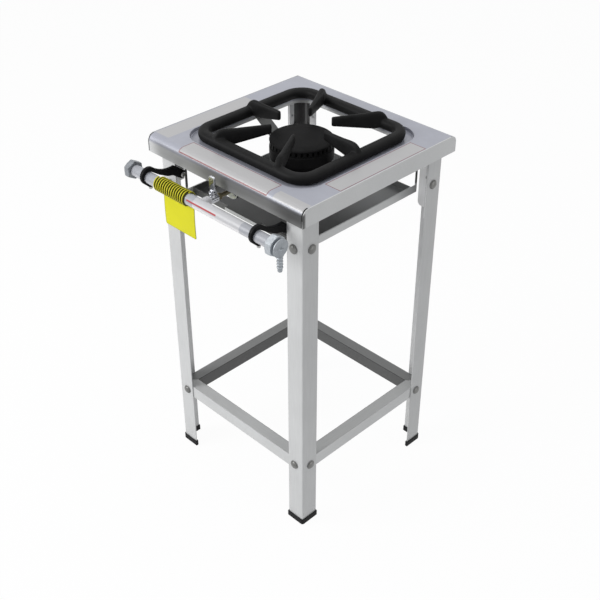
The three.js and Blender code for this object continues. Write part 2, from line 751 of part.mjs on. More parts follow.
function airShutter() {
  const back = -mixerMouth - seatGap;
  const disc = rodY(bellRadius, back - shutterSheet, back, 24);
  const drilled = disc.subtract(rodY(noseHole, back - shutterSheet - overshoot, back + overshoot, 16));
  const open = airWindows(drilled, back - shutterSheet - overshoot, back + overshoot);
  const tongue = block(
    -tongueWidth / 2, tongueWidth / 2, back - shutterSheet, back, bellRadius - overshoot, bellRadius + tongueReach,
  );
  return open.add(tongue).translate([0, 0, pipeHeight]);
}

function injector() {
  const start = valveBack + seatGap;
  const end = injectorEntry - mixerMouth;
  const hex = rodY(acrossCorners(injectorFlats), start, start + injectorHex, 6);
  const nose = rodY(injectorNose, start, end, 16);
  const bore = rodY(gasBore, start - overshoot, end + overshoot, 8);
  return union(hex, nose).subtract(bore).translate([0, 0, pipeHeight]);
}

place('mixing_tube', mixingTube(), castIron);
place('air_shutter', airShutter(), zincPlate);
place('injector', injector(), brass);

// ------------------------------------------------------------------ valve

const neckTop = pipeHeight + valveRadius + 1;
const bonnetTop = neckTop + seatGap + bonnetHeight;

function valveBody() {
  const [front, back] = [valveY - valveLength / 2, valveBack];
  const barrel = turnedY([
    [0, front], [valveRadius - 1, front], [valveRadius, front + 1], [valveRadius, back - 1],
    [valveRadius - 1, back], [0, back],
  ], 24).translate([0, 0, pipeHeight]);
  const neck = rod(valveRadius - 1.5, pipeHeight, neckTop, 24).translate([0, valveY, 0]);
  const well = rod(spindleRadius + seatGap, pipeHeight - wellDepth, neckTop + overshoot, boltSides);
  const bore = rodY(gasBore, front - overshoot, back + overshoot, 8).translate([0, 0, pipeHeight]);
  return union(barrel, neck).subtract(well.translate([0, valveY, 0])).subtract(bore);
}

function bonnetNut() {
  const low = neckTop + seatGap;
  const hex = rod(acrossCorners(bonnetFlats), low, bonnetTop, 6);
  const bore = rod(spindleRadius + seatGap, low - overshoot, bonnetTop + overshoot, boltSides);
  return hex.subtract(bore).translate([0, valveY, 0]);
}

// Spindle with a tall flat grip.
function valveHandle() {
  const low = bonnetTop + seatGap;
  const high = low + gripHeight;
  const half = gripWidth / 2;
  const spindle = rod(spindleRadius, pipeHeight - wellDepth + seatGap, low + 3, boltSides);
  const collar = rod(spindleRadius + 1.6, low, low + 3, boltSides);
  const wing = new THREE.Shape();
  wing.moveTo(-half * 0.6, low + 1);
  wing.lineTo(half * 0.6, low + 1);
  wing.lineTo(half, low + gripHeight * 0.25);
  wing.absarc(half - gripRound, high - gripRound, gripRound, 0, Math.PI / 2);
  wing.absarc(gripRound - half, high - gripRound, gripRound, Math.PI / 2, Math.PI);
  wing.lineTo(-half, low + gripHeight * 0.25);
  const grip = alongY(wing, -gripSheet / 2, gripSheet / 2, 4);
  return union(spindle, collar, grip).translate([0, valveY, 0]);
}

place('valve_body', valveBody(), chrome);
place('valve_bonnet_nut', bonnetNut(), chrome);
place('valve_handle', valveHandle(), chrome);

// ------------------------------------------------------------------ gas pipe and its fittings

function gasPipe() {
  const pipe = rodX(pipeRadius, pipeLeft, pipeRight, pipeSides).translate([0, pipeY, pipeHeight]);
  const boss = rodY(valveBossRadius, pipeY, bossEnd, 24).translate([0, 0, pipeHeight]);
  const bore = rodX(pipeBore, pipeLeft - overshoot, pipeRight + overshoot, pipeSides);
  const port = rodY(gasBore, pipeY, bossEnd + overshoot, 8).translate([0, 0, pipeHeight]);
  return union(pipe, boss).subtract(bore.translate([0, pipeY, pipeHeight])).subtract(port);
}

function hexPlug() {
  const face = pipeLeft - seatGap;
  const hex = rodX(acrossCorners(plugFlats), face - plugLength, face, 6);
  const spigot = rodX(pipeBore - seatGap, face - 1, face + spigotLength, pipeSides);
  return hex.add(spigot).translate([0, pipeY, pipeHeight]);
}

const unionLeft = pipeRight - unionLength / 2;
const elbowLeft = unionLeft + unionLength + seatGap;

function unionNut() {
  const hex = rodX(acrossCorners(unionFlats), unionLeft, unionLeft + unionLength, 6);
  const bore = rodX(pipeRadius + seatGap, unionLeft - overshoot, unionLeft + unionLength + overshoot, pipeSides);
  return hex.subtract(bore).translate([0, pipeY, pipeHeight]);
}

// Round-headed elbow, coned back to the pipe, with a ribbed hose tail that points straight down.
function hoseElbow() {
  const right = elbowLeft + elbowLength;
  const head = turnedX([
    [0, elbowLeft], [pipeRadius, elbowLeft], [elbowRadius, right - 2], [elbowRadius, right - 1],
    [elbowRadius - 1, right], [0, right],
  ], 28);
  const spigot = rodX(pipeRadius, pipeRight + seatGap, elbowLeft + 1, 24);
  const tailX = elbowLeft + stemInset;
  const ribs = [[0, 0], [stemRadius, 0], [stemRadius, -stemDrop], [barbCore, -barbDrop]];
  for (let i = 0; i < barbRibs; i++) {
    const top = -barbDrop - 2 - i * barbPitch;
    ribs.push([barbCore, top], [barbRadius, top - 0.8], [barbCore, top - barbPitch + 1.2]);
  }
  const end = -barbDrop - barbRibs * barbPitch - tipLength;
  ribs.push([barbCore, end + 2], [barbCore - 1, end], [0, end]);
  // The stem is cut flat where it passes the union nut.
  const past = block(-elbowRadius, -stemInset, -elbowRadius, elbowRadius, -unionFlats / 2 - 1, overshoot);
  const tail = turned(ribs, 14).subtract(past).translate([tailX, 0, 0]);
  const down = rod(barbBore, end - overshoot, 0, boltSides).translate([tailX, 0, 0]);
  const across = rodX(barbBore, pipeRight - overshoot, tailX, boltSides);
  return union(head, spigot, tail).subtract(down).subtract(across).translate([0, pipeY, pipeHeight]);
}

place('gas_pipe', gasPipe(), pipePaint);
place('hex_plug', hexPlug(), zincPlate);
place('union_nut', unionNut(), zincPlate);
place('hose_elbow', hoseElbow(), zincPlate);

// ------------------------------------------------------------------ hooks that carry the pipe

const hookOuter = legX - legFlange - seatGap; // the hook's face against its ear

// A C round the pipe, open at the back, and an arm that dips and runs back and down to the ear.
function pipeHook() {
  const inner = pipeRadius + seatGap;
  const span = hookBolt.y - pipeY;
  const along = ([part, rise]) => [pipeY + part * span, pipeHeight + rise];
  const [noseY, noseZ] = [pipeY + hookShift[0], pipeHeight + hookShift[1]];
  const shape = new THREE.Shape();
  shape.absarc(pipeY, pipeHeight, inner, -0.44 * Math.PI, -1.7 * Math.PI, true);
  for (const point of hookUnder) shape.lineTo(...along(point));
  shape.absarc(hookBolt.y, hookBolt.z, hookRound, -0.78 * Math.PI, 0.29 * Math.PI);
  shape.lineTo(...along(hookPeak));
  const start = 0.22 * Math.PI;
  shape.bezierCurveTo(
    ...along(hookSaddle[0]), ...along(hookSaddle[1]),
    noseY + hookRadius * Math.cos(start), noseZ + hookRadius * Math.sin(start),
  );
  shape.absarc(noseY, noseZ, hookRadius, start, 1.3 * Math.PI);
  shape.lineTo(pipeY + hookFootFrom, pipeHeight - hookFoot);
  shape.lineTo(pipeY + hookFootTo, pipeHeight - hookFoot);
  const [left, right] = [hookOuter - hookWidth, hookOuter];
  const bolt = rodX(hookBoltRadius + seatGap, left - overshoot, right + overshoot, boltSides);
  const screw = rod(screwRadius + seatGap, -hookFoot - overshoot, 0, boltSides);
  return without(
    alongX(shape, left, right, 10),
    bolt.translate([0, hookBolt.y, hookBolt.z]),
    screw.translate([(left + right) / 2, pipeY + screwPlace, pipeHeight]),
  );
}

// The screw up through the jaw's foot, which stops just short of the pipe.
function hookScrew() {
  const seat = -hookFoot - seatGap;
  const tip = -pipeRadius - 2 * seatGap;
  const profile = [
    [0, seat - screwHeadHeight], [screwHeadRadius - 1, seat - screwHeadHeight],
    [screwHeadRadius, seat - screwHeadHeight + 1], [screwHeadRadius, seat], [screwRadius, seat],
    [screwRadius, tip], [0, tip],
  ];
  return turned(profile, boltSides).translate([hookOuter - hookWidth / 2, pipeY + screwPlace, pipeHeight]);
}

// Bolt along x through the arm and the ear.
function hookArmBolt() {
  const inside = hookOuter - hookWidth - seatGap;
  const outside = hookOuter + seatGap + bracketSheet + seatGap;
  const shank = rodX(hookBoltRadius, inside - 1, outside + 4, boltSides);
  const head = turnedX([[0, inside - 3], [4, inside - 3], [5, inside - 1.4], [5, inside], [0, inside]], boltSides);
  const nut = rodX(acrossCorners(8), outside, outside + 3.4, 6);
  return union(shank, head, nut).translate([0, hookBolt.y, hookBolt.z]);
}

for (const [side, mirrored] of [['right', false], ['left', true]]) {
  const facing = (body) => (mirrored ? body.mirror([1, 0, 0]) : body);
  place(`pipe_hook_${side}`, facing(pipeHook()), blackPlastic);
  place(`pipe_hook_screw_${side}`, facing(hookScrew()), zincPlate);
  place(`pipe_hook_bolt_${side}`, facing(hookArmBolt()), boltSteel);
}

// ------------------------------------------------------------------ wound sleeve and tag

const wrapRadius = pipeRadius + 2 * seatGap + wrapWire; // centre line of the wound strand

// One unbroken strand that winds round the pipe; its two ends run straight for one strand width.
function woundSleeve() {
  const steps = wrapTurns * wrapSteps;
  const start = wrapMiddle - wrapTurns * wrapPitch / 2;
  const points = [];
  for (let i = 0; i <= steps; i++) {
    const turn = i / wrapSteps * 2 * Math.PI + 0.5 * Math.PI;
    points.push(new THREE.Vector3(
      start + i / wrapSteps * wrapPitch,
      pipeY + wrapRadius * Math.cos(turn),
      pipeHeight + wrapRadius * Math.sin(turn),
    ));
  }
  const straight = (end, next) => end.clone().sub(next).setLength(2 * wrapWire).add(end);
  points.unshift(straight(points[0], points[1]));
  points.push(straight(points[points.length - 1], points[points.length - 2]));
  printLeastGap(points);
  return solid(strand(points, wrapWire, wrapSides));
}

// Tube of a regular section along a list of points, with flat ends, joined in one buffer geometry.
function strand(points, radius, sides) {
  const count = points.length;
  const vertices = [];
  const faces = [];
  const axis = new THREE.Vector3(0, pipeY, pipeHeight);
  for (let i = 0; i < count; i++) {
    const ahead = points[Math.min(i + 1, count - 1)];
    const behind = points[Math.max(i - 1, 0)];
    const tangent = ahead.clone().sub(behind).normalize();
    const outward = points[i].clone().sub(axis).setX(0);
    outward.addScaledVector(tangent, -outward.dot(tangent)).normalize();
    const across = tangent.clone().cross(outward);
    for (let k = 0; k < sides; k++) {
      const turn = (k + 0.5) / sides * 2 * Math.PI;
      vertices.push(points[i].clone()
        .addScaledVector(outward, radius * Math.cos(turn))
        .addScaledVector(across, radius * Math.sin(turn)));
    }
  }
  for (let i = 0; i + 1 < count; i++) {
    for (let k = 0; k < sides; k++) {
      const [a, b] = [i * sides + k, i * sides + (k + 1) % sides];
      faces.push(a, b, b + sides, a, b + sides, a + sides);
    }
  }
  for (let k = 1; k + 1 < sides; k++) {
    const last = (count - 1) * sides;
    faces.push(0, k + 1, k, last, last + k, last + k + 1);
  }
  const geometry = new THREE.BufferGeometry().setFromPoints(vertices);
  geometry.setIndex(faces);
  return geometry;
}

// The strand's least gap to itself, from points at least half a turn apart.
function printLeastGap(points) {
  let least = Infinity;
  for (let i = 0; i < points.length; i++) {
    for (let k = i + wrapSteps / 2; k < points.length; k++) least = Math.min(least, points[i].distanceTo(points[k]));
  }
  console.log(`wound sleeve: least gap between turns ${(least - 2 * wrapWire).toFixed(2)} mm`);
}

// Thin stiff tag that hangs straight down under the sleeve, with a slight bow.
function hangingTag() {
  const top = pipeHeight - (wrapRadius + wrapWire + seatGap);
  const middle = (tagBow - tagSheet) / 3 + tagSheet / 2; // puts its weight under the pipe
  const shape = new THREE.Shape();
  shape.moveTo(middle, 0);
  shape.quadraticCurveTo(middle - tagBow, -tagLength / 2, middle, -tagLength);
  shape.lineTo(middle - tagSheet, -tagLength);
  shape.quadraticCurveTo(middle - tagBow - tagSheet, -tagLength / 2, middle - tagSheet, 0);
  return alongX(shape, tagLeft, tagLeft + tagWidth, 5).translate([0, pipeY, top]);
}

place('wound_sleeve', woundSleeve(), yellowPlastic);
place('hanging_tag', hangingTag(), yellowCard);

// ------------------------------------------------------------------ pot grate

// Rounded bar section swept round a rounded square, and fingers that reach in over the burner.
function potGrate() {
  const perCorner = 8;
  const straight = grateHalf - grateCorner;
  const path = [];
  for (let quarter = 0; quarter < 4; quarter++) {
    const centre = quarter * Math.PI / 2 + Math.PI / 4;
    const cx = Math.sign(Math.cos(centre)) * straight;
    const cy = Math.sign(Math.sin(centre)) * straight;
    for (let i = 0; i <= perCorner; i++) {
      const turn = (quarter + i / perCorner) * Math.PI / 2;
      path.push({ x: cx, y: cy, ux: Math.cos(turn), uy: Math.sin(turn) });
    }
  }
  const section = barSection();
  const vertices = path.flatMap(({ x, y, ux, uy }) => section.map(([out, up]) => new THREE.Vector3(
    x + ux * (grateCorner + out), y + uy * (grateCorner + out), ringMiddle + up,
  )));
  const sides = section.length;
  const faces = [];
  for (let i = 0; i < path.length; i++) {
    const next = (i + 1) % path.length * sides;
    for (let k = 0; k < sides; k++) {
      const [a, b, c, d] = [i * sides + k, i * sides + (k + 1) % sides, next + (k + 1) % sides, next + k];
      faces.push(a, c, b, a, d, c);
    }
  }
  const ring = new THREE.BufferGeometry().setFromPoints(vertices);
  ring.setIndex(faces);
  const fingers = Array.from({ length: fingerCount }, (_, i) => grateFinger(i * 2 * Math.PI / fingerCount));
  return union(solid(ring), ...fingers);
}

// Bar section as [outward, up]: a flat foot, drafted sides and a rounded back.
function barSection() {
  const half = barWidth / 2;
  const points = [[-half * 0.7, -barHeight / 2], [half * 0.7, -barHeight / 2]];
  const steps = 8;
  for (let i = 0; i <= steps; i++) {
    const turn = -0.15 * Math.PI + i / steps * 1.3 * Math.PI;
    points.push([half * Math.cos(turn), barHeight / 2 * Math.sin(turn)]);
  }
  return points;
}

// One finger: a deep web that tapers to its tip, with a raised knob over the ring.
function grateFinger(turn) {
  const ringAt = grateHalf / Math.max(Math.abs(Math.cos(turn)), Math.abs(Math.sin(turn)));
  const outer = ringAt + barWidth * 0.42;
  const knob = ringAt - knobInset;
  const web = new THREE.Shape();
  web.moveTo(fingerReach, potRest - fingerTipDepth);
  web.lineTo(fingerReach, potRest - 1);
  web.lineTo(fingerReach + 2, potRest);
  web.lineTo(knob - 26, potRest);
  web.bezierCurveTo(knob - 14, potRest, knob - 14, potRest + knobRise, knob - 4, potRest + knobRise);
  web.bezierCurveTo(knob + 10, potRest + knobRise, outer - 4, potRest - 6, outer, ringMiddle);
  web.lineTo(ringAt, ringBottom + 3);
  web.lineTo(ringAt - barWidth / 2 - 8, ringBottom + 1);
  const blade = alongY(web, -fingerRootWidth, fingerRootWidth, 5);
  // Seen from above the web narrows to its tip.
  const plan = outline([
    [fingerReach - 1, -fingerTipWidth / 2], [outer + 1, -fingerRootWidth / 2],
    [outer + 1, fingerRootWidth / 2], [fingerReach - 1, fingerTipWidth / 2],
  ]);
  const finger = blade.intersect(raised(plan, ringBottom - overshoot, potRest + knobRise + overshoot));
  return finger.rotate([0, 0, THREE.MathUtils.radToDeg(turn)]);
}

place('pot_grate', potGrate(), castIron);

// ------------------------------------------------------------------ origin under the middle of the whole

const extent = new THREE.Box3().setFromObject(stand);
stand.position.set(-(extent.min.x + extent.max.x) / 2, -(extent.min.y + extent.max.y) / 2, -extent.min.z);
const group = new THREE.Group();
group.add(stand);

export default group;
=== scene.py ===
"""Looks of a single-ring propane burner stand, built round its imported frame.

Sizes are in millimetres about the stand's upright axis: x to the right, the gas pipe at the front (-y), the
feet on z = 0. A Shape is turned into metres in the frame's own axes when it becomes a mesh.
"""

from __future__ import annotations

import json
import logging
import math
from collections.abc import Callable, Mapping, Sequence
from dataclasses import dataclass
from enum import Enum

import bmesh
import bpy
import numpy as np
from mathutils import Matrix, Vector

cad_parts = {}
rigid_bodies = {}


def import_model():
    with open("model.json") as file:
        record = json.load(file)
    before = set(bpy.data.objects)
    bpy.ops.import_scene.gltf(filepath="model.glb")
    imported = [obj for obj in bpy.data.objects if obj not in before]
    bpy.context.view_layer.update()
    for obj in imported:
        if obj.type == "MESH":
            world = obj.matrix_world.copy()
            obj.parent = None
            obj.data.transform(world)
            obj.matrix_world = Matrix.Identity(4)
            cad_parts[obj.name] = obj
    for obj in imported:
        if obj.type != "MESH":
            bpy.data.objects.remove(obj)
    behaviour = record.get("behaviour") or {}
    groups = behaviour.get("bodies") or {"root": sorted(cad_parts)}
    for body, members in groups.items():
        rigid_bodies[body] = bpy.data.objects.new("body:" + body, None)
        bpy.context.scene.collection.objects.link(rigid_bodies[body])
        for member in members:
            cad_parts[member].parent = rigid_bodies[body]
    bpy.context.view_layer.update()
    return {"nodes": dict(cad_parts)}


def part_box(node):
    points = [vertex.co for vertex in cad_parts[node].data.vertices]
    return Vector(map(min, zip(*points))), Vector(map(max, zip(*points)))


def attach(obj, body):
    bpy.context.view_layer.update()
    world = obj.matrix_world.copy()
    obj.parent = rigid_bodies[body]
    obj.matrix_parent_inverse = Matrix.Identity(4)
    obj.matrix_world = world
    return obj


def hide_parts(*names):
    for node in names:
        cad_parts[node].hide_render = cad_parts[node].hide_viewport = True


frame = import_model()

LOG = logging.getLogger("burner_stand")
Array = np.ndarray
Colour = tuple[float, float, float]
Point = tuple[float, float, float]
MM = 0.001  # a millimetre in metres
GAP = 0.3  # clearance at a seat, in millimetres
TURN = 2 * math.pi
MOST_CORNERS = 60  # a flat face with more corners is split before its edges are rounded
MERGE = 1e-5  # distance in metres under which the points of a CAD copy merge


def stand_axis() -> Array:
    """Foot of the stand's upright axis in the frame, in metres: the middle of the top sheet, on the floor."""
    low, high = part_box("top_sheet")
    return np.array([(low.x + high.x) / 2, (low.y + high.y) / 2, 0.0])


AXIS_FOOT = stand_axis()


def node_box(node: str) -> tuple[Array, Array]:
    """Lowest and highest corner of a CAD node, in stand millimetres."""
    low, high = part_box(node)
    return (np.array(low) - AXIS_FOOT) / MM, (np.array(high) - AXIS_FOOT) / MM


class Axis(Enum):
    """An axis of the stand, as the order that carries (across, across, along) to (x, y, z)."""

    X = (2, 0, 1)
    Y = (1, 2, 0)
    Z = (0, 1, 2)

    @property
    def index(self) -> int:
        """Where the axis stands among x, y and z."""
        return self.value.index(2)

    def place(self, across: Array, other: Array, along: Array) -> Array:
        """Points from two coordinates across the axis and one along it."""
        return np.stack([across, other, along], axis=-1)[..., list(self.value)]

    def stretch(self, fine: float, coarse: float) -> Point:
        """Pattern scales, coarse along this axis and fine across it."""
        return tuple(coarse if i == self.index else fine for i in range(3))


class Side(Enum):
    """Left and right of the stand, as the sign of x."""

    LEFT = -1
    RIGHT = 1

    @property
    def word(self) -> str:
        """The side's name as the nodes have it."""
        return self.name.lower()


# --------------------------------------------------------------------------------------------------- shapes


@dataclass(frozen=True)
class Shape:
    """Points in stand millimetres, and four-cornered faces between them."""

    points: Array
    faces: Array

    def __add__(self, other: Shape) -> Shape:
        """Both shapes as one."""
        faces = np.concatenate([self.faces, other.faces + len(self.points)])
        return Shape(np.concatenate([self.points, other.points]), faces)

    def turned(self, angle: float) -> Shape:
        """The shape, turned about the stand's axis by an angle in radians."""
        c, s = math.cos(angle), math.sin(angle)
        return Shape(self.points @ np.array([[c, s, 0.0], [-s, c, 0.0], [0.0, 0.0, 1.0]]), self.faces)


def grid(points: Array, loop_rows: bool = False, loop_columns: bool = True) -> Shape:
    """Faces between the neighbours of a grid: corner (i, k) joins (i, k+1), (i+1, k+1) and (i+1, k).

    Args:
        points: Rows by columns by three.
        loop_rows: Whether the last row joins the first.
        loop_columns: Whether the last column joins the first.

    Returns:
        The shape.
    """
    rows, columns = points.shape[:2]
    i, k = np.meshgrid(
        np.arange(rows if loop_rows else rows - 1),
        np.arange(columns if loop_columns else columns - 1),
        indexing="ij",
    )
    i, k = i.ravel(), k.ravel()
    below, beside = (i + 1) % rows * columns, (k + 1) % columns
    faces = np.stack([i * columns + k, i * columns + beside, below + beside, below + k], axis=1)
    return Shape(points.reshape(-1, 3), faces)


def capped(points: Array) -> Array:
    """A tube's grid with each end row drawn together to its middle, so that both ends are closed.

    Args:
        points: Rows by columns by three.

    Returns:
        The grid with a row more at each end.
    """
    first = np.broadcast_to(points[0].mean(axis=0), points[0].shape)
    last = np.broadcast_to(points[-1].mean(axis=0), points[-1].shape)
    return np.concatenate([first[None], points, last[None]])


def folded_shut(points: Array) -> Array:
    """A flat tube's grid with each end row folded shut: every point moves to the middle between its partners.

    Args:
        points: Rows by an even number of columns by three; the first half of a row faces its second half.

    Returns:
        The grid with a row more at each end.
    """
    ends = (points[[0, -1]] + points[[0, -1], ::-1]) / 2
    return np.concatenate([ends[:1], points, ends[1:]])


def rounded(corners: Sequence[Sequence[float]], radius: float, steps: int = 5, loop: bool = False) -> Array:
    """A line whose corners are rounded.

    Each corner P gives way to the curve (1-t)^2 A + 2t(1-t) P + t^2 B, where A and B lie on its two sides at
    the given distance from it, or at two fifths of a shorter side.

    Args:
        corners: The line's corners.
        radius: Distance from a corner at which its rounding starts.
        steps: Steps of each rounding.
        loop: Whether the last corner joins the first.

    Returns:
        The points of the rounded line.
    """
    line = np.asarray(corners, float)
    before, after = np.roll(line, 1, axis=0), np.roll(line, -1, axis=0)
    back, ahead = before - line, after - line
    back_length = np.linalg.norm(back, axis=1, keepdims=True)
    ahead_length = np.linalg.norm(ahead, axis=1, keepdims=True)
    start = line + back / np.maximum(back_length, 1e-9) * np.minimum(radius, 0.4 * back_length)
    end = line + ahead / np.maximum(ahead_length, 1e-9) * np.minimum(radius, 0.4 * ahead_length)
    t = np.linspace(0, 1, steps + 1)[None, :, None]
    curves = (1 - t) ** 2 * start[:, None] + 2 * t * (1 - t) * line[:, None] + t**2 * end[:, None]
    if loop:
        return curves.reshape(-1, line.shape[1])
    inner = curves[1:-1].reshape(-1, line.shape[1])
    return np.concatenate([line[:1], inner, line[-1:]])


def revolved(
    profile: Array,
    axis: Axis,
    centre: Point,
    columns: int = 64,
    flats: float = 0.0,
    loop: bool = False,
) -> Shape:
    """A profile of (radius, place) turned round an axis.

    The radius at turn w is the profile's own, or where flats are given the lesser of that and
    flats / 2 / cos(w - nearest sixth of a turn), which makes a hexagon with chamfered ends.

    Args:
        profile: Radii and places along the axis.
        axis: The axis.
        centre: A point on the axis; places count from it.
        columns: Points round the axis.
        flats: Distance between opposite flats, or 0 for a round shape.
        loop: Whether the profile's last point joins its first.

    Returns:
        The shape.
    """
    turn = np.arange(columns) / columns * TURN
    radius = np.repeat(profile[:, :1], columns, axis=1)
    if flats:
        off = (turn + TURN / 12) % (TURN / 6) - TURN / 12
        radius = np.minimum(radius, flats / 2 / np.cos(off)[None, :])
    along = np.repeat(profile[:, 1:2], columns, axis=1)
    points = axis.place(radius * np.cos(turn), radius * np.sin(turn), along) + np.array(centre)
    return grid(points, loop_rows=loop)


def strand(path: Array, outward: Array, radius: float, sides: int = 12) -> Shape:
    """A round strand along a path: path + radius (cos v outward + sin v across), closed at both ends.

    Args:
        path: Points of the middle line.
        outward: Unit direction square to the path at each of them.
        radius: Radius of the strand.
        sides: Points round the strand.

    Returns:
        The shape.
    """
    tangent = np.gradient(path, axis=0)
    tangent /= np.linalg.norm(tangent, axis=1, keepdims=True)
    outward = outward - (outward * tangent).sum(axis=1, keepdims=True) * tangent
    outward /= np.linalg.norm(outward, axis=1, keepdims=True)
    across = np.cross(tangent, outward)
    v = np.arange(sides) / sides * TURN
    ring = np.cos(v)[None, :, None] * outward[:, None] + np.sin(v)[None, :, None] * across[:, None]
    return grid(capped(path[:, None] + radius * ring))


def squared(turn: Array, power: float) -> tuple[Array, Array]:
    """Points of a rounded box of half size 1: sign(cos v) |cos v|^(2/power), and the same with sin."""
    c, s = np.cos(turn), np.sin(turn)
    return np.sign(c) * np.abs(c) ** (2 / power), np.sign(s) * np.abs(s) ** (2 / power)


# --------------------------------------------------------------------------------------------------- meshes


def tidy_mesh(mesh: bpy.types.Mesh, merge: float, flat: float = 0.0) -> None:
    """Merges doubles and turns the faces out.

    Where asked, flat neighbours become one face first, unless that face would have very many corners.

    Args:
        mesh: The mesh.
        merge: Distance in metres under which points merge.
        flat: Angle in radians up to which neighbours count as flat, or 0 to keep them all.
    """
    work = bmesh.new()
    work.from_mesh(mesh)
    bmesh.ops.remove_doubles(work, verts=work.verts, dist=merge)
    if flat:
        bmesh.ops.dissolve_limit(work, angle_limit=flat, verts=work.verts, edges=work.edges)
        wide = [face for face in work.faces if len(face.verts) > MOST_CORNERS]
        bmesh.ops.triangulate(work, faces=wide, ngon_method="BEAUTY")
    bmesh.ops.recalc_face_normals(work, faces=work.faces)
    work.to_mesh(mesh)
    work.free()
    mesh.polygons.foreach_set("use_smooth", np.ones(len(mesh.polygons), bool))
    mesh.update()


def linked(name: str, mesh: bpy.types.Mesh) -> bpy.types.Object:
    """A new object in the scene that shows a mesh.

    Args:
        name: The object's name.
        mesh: The mesh.

    Returns:
        The object.
    """
    piece = bpy.data.objects.new(name, mesh)
    bpy.context.scene.collection.objects.link(piece)
    return piece


def meshed(name: str, shape: Shape, crease: float = 40.0) -> bpy.types.Object:
    """A piece from a shape, smooth up to a crease angle.

    Args:
        name: The piece's name.
        shape: Its shape.
        crease: Angle in degrees past which an edge is sharp.

    Returns:
        The piece.
    """
    mesh = bpy.data.meshes.new(name)
    mesh.from_pydata((shape.points * MM + AXIS_FOOT).tolist(), [], shape.faces.tolist())
    tidy_mesh(mesh, MERGE / 10)
    mesh.set_sharp_from_angle(angle=math.radians(crease))
    return linked(name, mesh)


def applied(piece: bpy.types.Object) -> bpy.types.Object:
    """Makes a piece's modifiers part of its mesh.

    Args:
        piece: The piece.

    Returns:
        The piece.
    """
    bpy.context.view_layer.update()
    shown = piece.evaluated_get(bpy.context.evaluated_depsgraph_get())
    mesh = bpy.data.meshes.new_from_object(shown)
    piece.modifiers.clear()
    piece.data = mesh
    mesh.polygons.foreach_set("use_smooth", np.ones(len(mesh.polygons), bool))
    return piece


def cast(name: str, shape: Shape, voxel: float, passes: int = 6) -> bpy.types.Object:
    """A piece cast in one: closed shells fused on a fine lattice, and the lattice's steps smoothed away.

    Args:
        name: The piece's name.
        shape: Closed shells that overlap.
        voxel: Lattice size in millimetres.
        passes: Smoothing passes.

    Returns:
        The piece.
    """
    piece = meshed(name, shape)
    remesh = piece.modifiers.new("fuse", "REMESH")
    remesh.mode = "VOXEL"
    remesh.voxel_size = voxel * MM
    remesh.use_smooth_shade = True
    smooth = piece.modifiers.new("fettle", "SMOOTH")
    smooth.factor = 0.5
    smooth.iterations = passes
    return applied(piece)


def edge_angles(mesh: bpy.types.Mesh) -> tuple[Array, Array]:
    """How sharp each edge of a closed mesh is: the angle between the normals of its two faces.

    Args:
        mesh: The mesh.

    Returns:
        The angle at each edge in radians, and each edge's middle in stand millimetres.
    """
    edge = np.empty(len(mesh.loops), np.int64)
    mesh.loops.foreach_get("edge_index", edge)
    size = np.empty(len(mesh.polygons), np.int64)
    mesh.polygons.foreach_get("loop_total", size)
    normal = np.empty(len(mesh.polygons) * 3)
    mesh.polygons.foreach_get("normal", normal)
    face = np.repeat(np.arange(len(size)), size)[np.argsort(edge, kind="stable")]
    first = np.searchsorted(np.sort(edge), np.arange(len(mesh.edges)))
    last = np.searchsorted(np.sort(edge), np.arange(len(mesh.edges)), side="right") - 1
    normal = normal.reshape(-1, 3)
    cosine = (normal[face[first]] * normal[face[last]]).sum(axis=1)
    ends = np.empty(len(mesh.edges) * 2, np.int64)
    mesh.edges.foreach_get("vertices", ends)
    place = np.empty(len(mesh.vertices) * 3)
    mesh.vertices.foreach_get("co", place)
    middle = place.reshape(-1, 3)[ends.reshape(-1, 2)].mean(axis=1)
    return np.arccos(np.clip(cosine, -1, 1)), (middle - AXIS_FOOT) / MM


def refined(
    node: str,
    edge: float,
    softer: Callable[[Array], Array] | None = None,
    segments: int = 2,
    crease: float = 26.0,
) -> bpy.types.Object:
    """A copy of a CAD node with its sharp edges rounded.

    Args:
        node: The node.
        edge: Width of the rounding in millimetres.
        softer: Share of that width for edges with the given middles, where it isn't the same all over.
        segments: Faces across a rounding.
        crease: Angle in degrees past which an edge is rounded.

    Returns:
        The piece, named after the node.
    """
    mesh = frame["nodes"][node].data.copy()
    mesh.name = f"{node}_finished"
    for name in [a.name for a in mesh.attributes if a.domain == "CORNER" and not a.is_internal]:
        mesh.attributes.remove(mesh.attributes[name])
    tidy_mesh(mesh, MERGE, math.radians(0.6))
    angle, middle = edge_angles(mesh)
    weight = (angle > math.radians(crease)).astype(np.float32)
    if softer is not None:
        weight *= softer(middle).astype(np.float32)
    mesh.attributes.new("bevel_weight_edge", "FLOAT", "EDGE").data.foreach_set("value", weight)
    piece = linked(mesh.name, mesh)
    bevel = piece.modifiers.new("rounding", "BEVEL")
    bevel.limit_method = "WEIGHT"
    bevel.width = edge * MM
    bevel.segments = segments
    bevel.use_clamp_overlap = False
    bevel.harden_normals = True
    return piece


def settle(
    piece: bpy.types.Object,
    body: str,
    nodes: Sequence[str],
    material: bpy.types.Material,
) -> bpy.types.Object:
    """Gives a piece its finish and its body, and lets it stand for CAD nodes.

    Args:
        piece: The piece.
        body: The body it rides on.
        nodes: The nodes it stands for.
        material: Its finish.

    Returns:
        The piece.
    """
    piece.data.materials.clear()
    piece.data.materials.append(material)
    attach(piece, body)
    if nodes:
        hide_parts(*nodes)
    LOG.info("%s: %d faces on %s", piece.name, len(piece.data.polygons), body)
    return piece


# --------------------------------------------------------------------------------------------- shader maths


def tinted(colour: Colour, share: float) -> Colour:
    """The colour, darker or lighter by a share, with no part of it past 1."""
    return tuple(min(1.0, part * share) for part in colour)


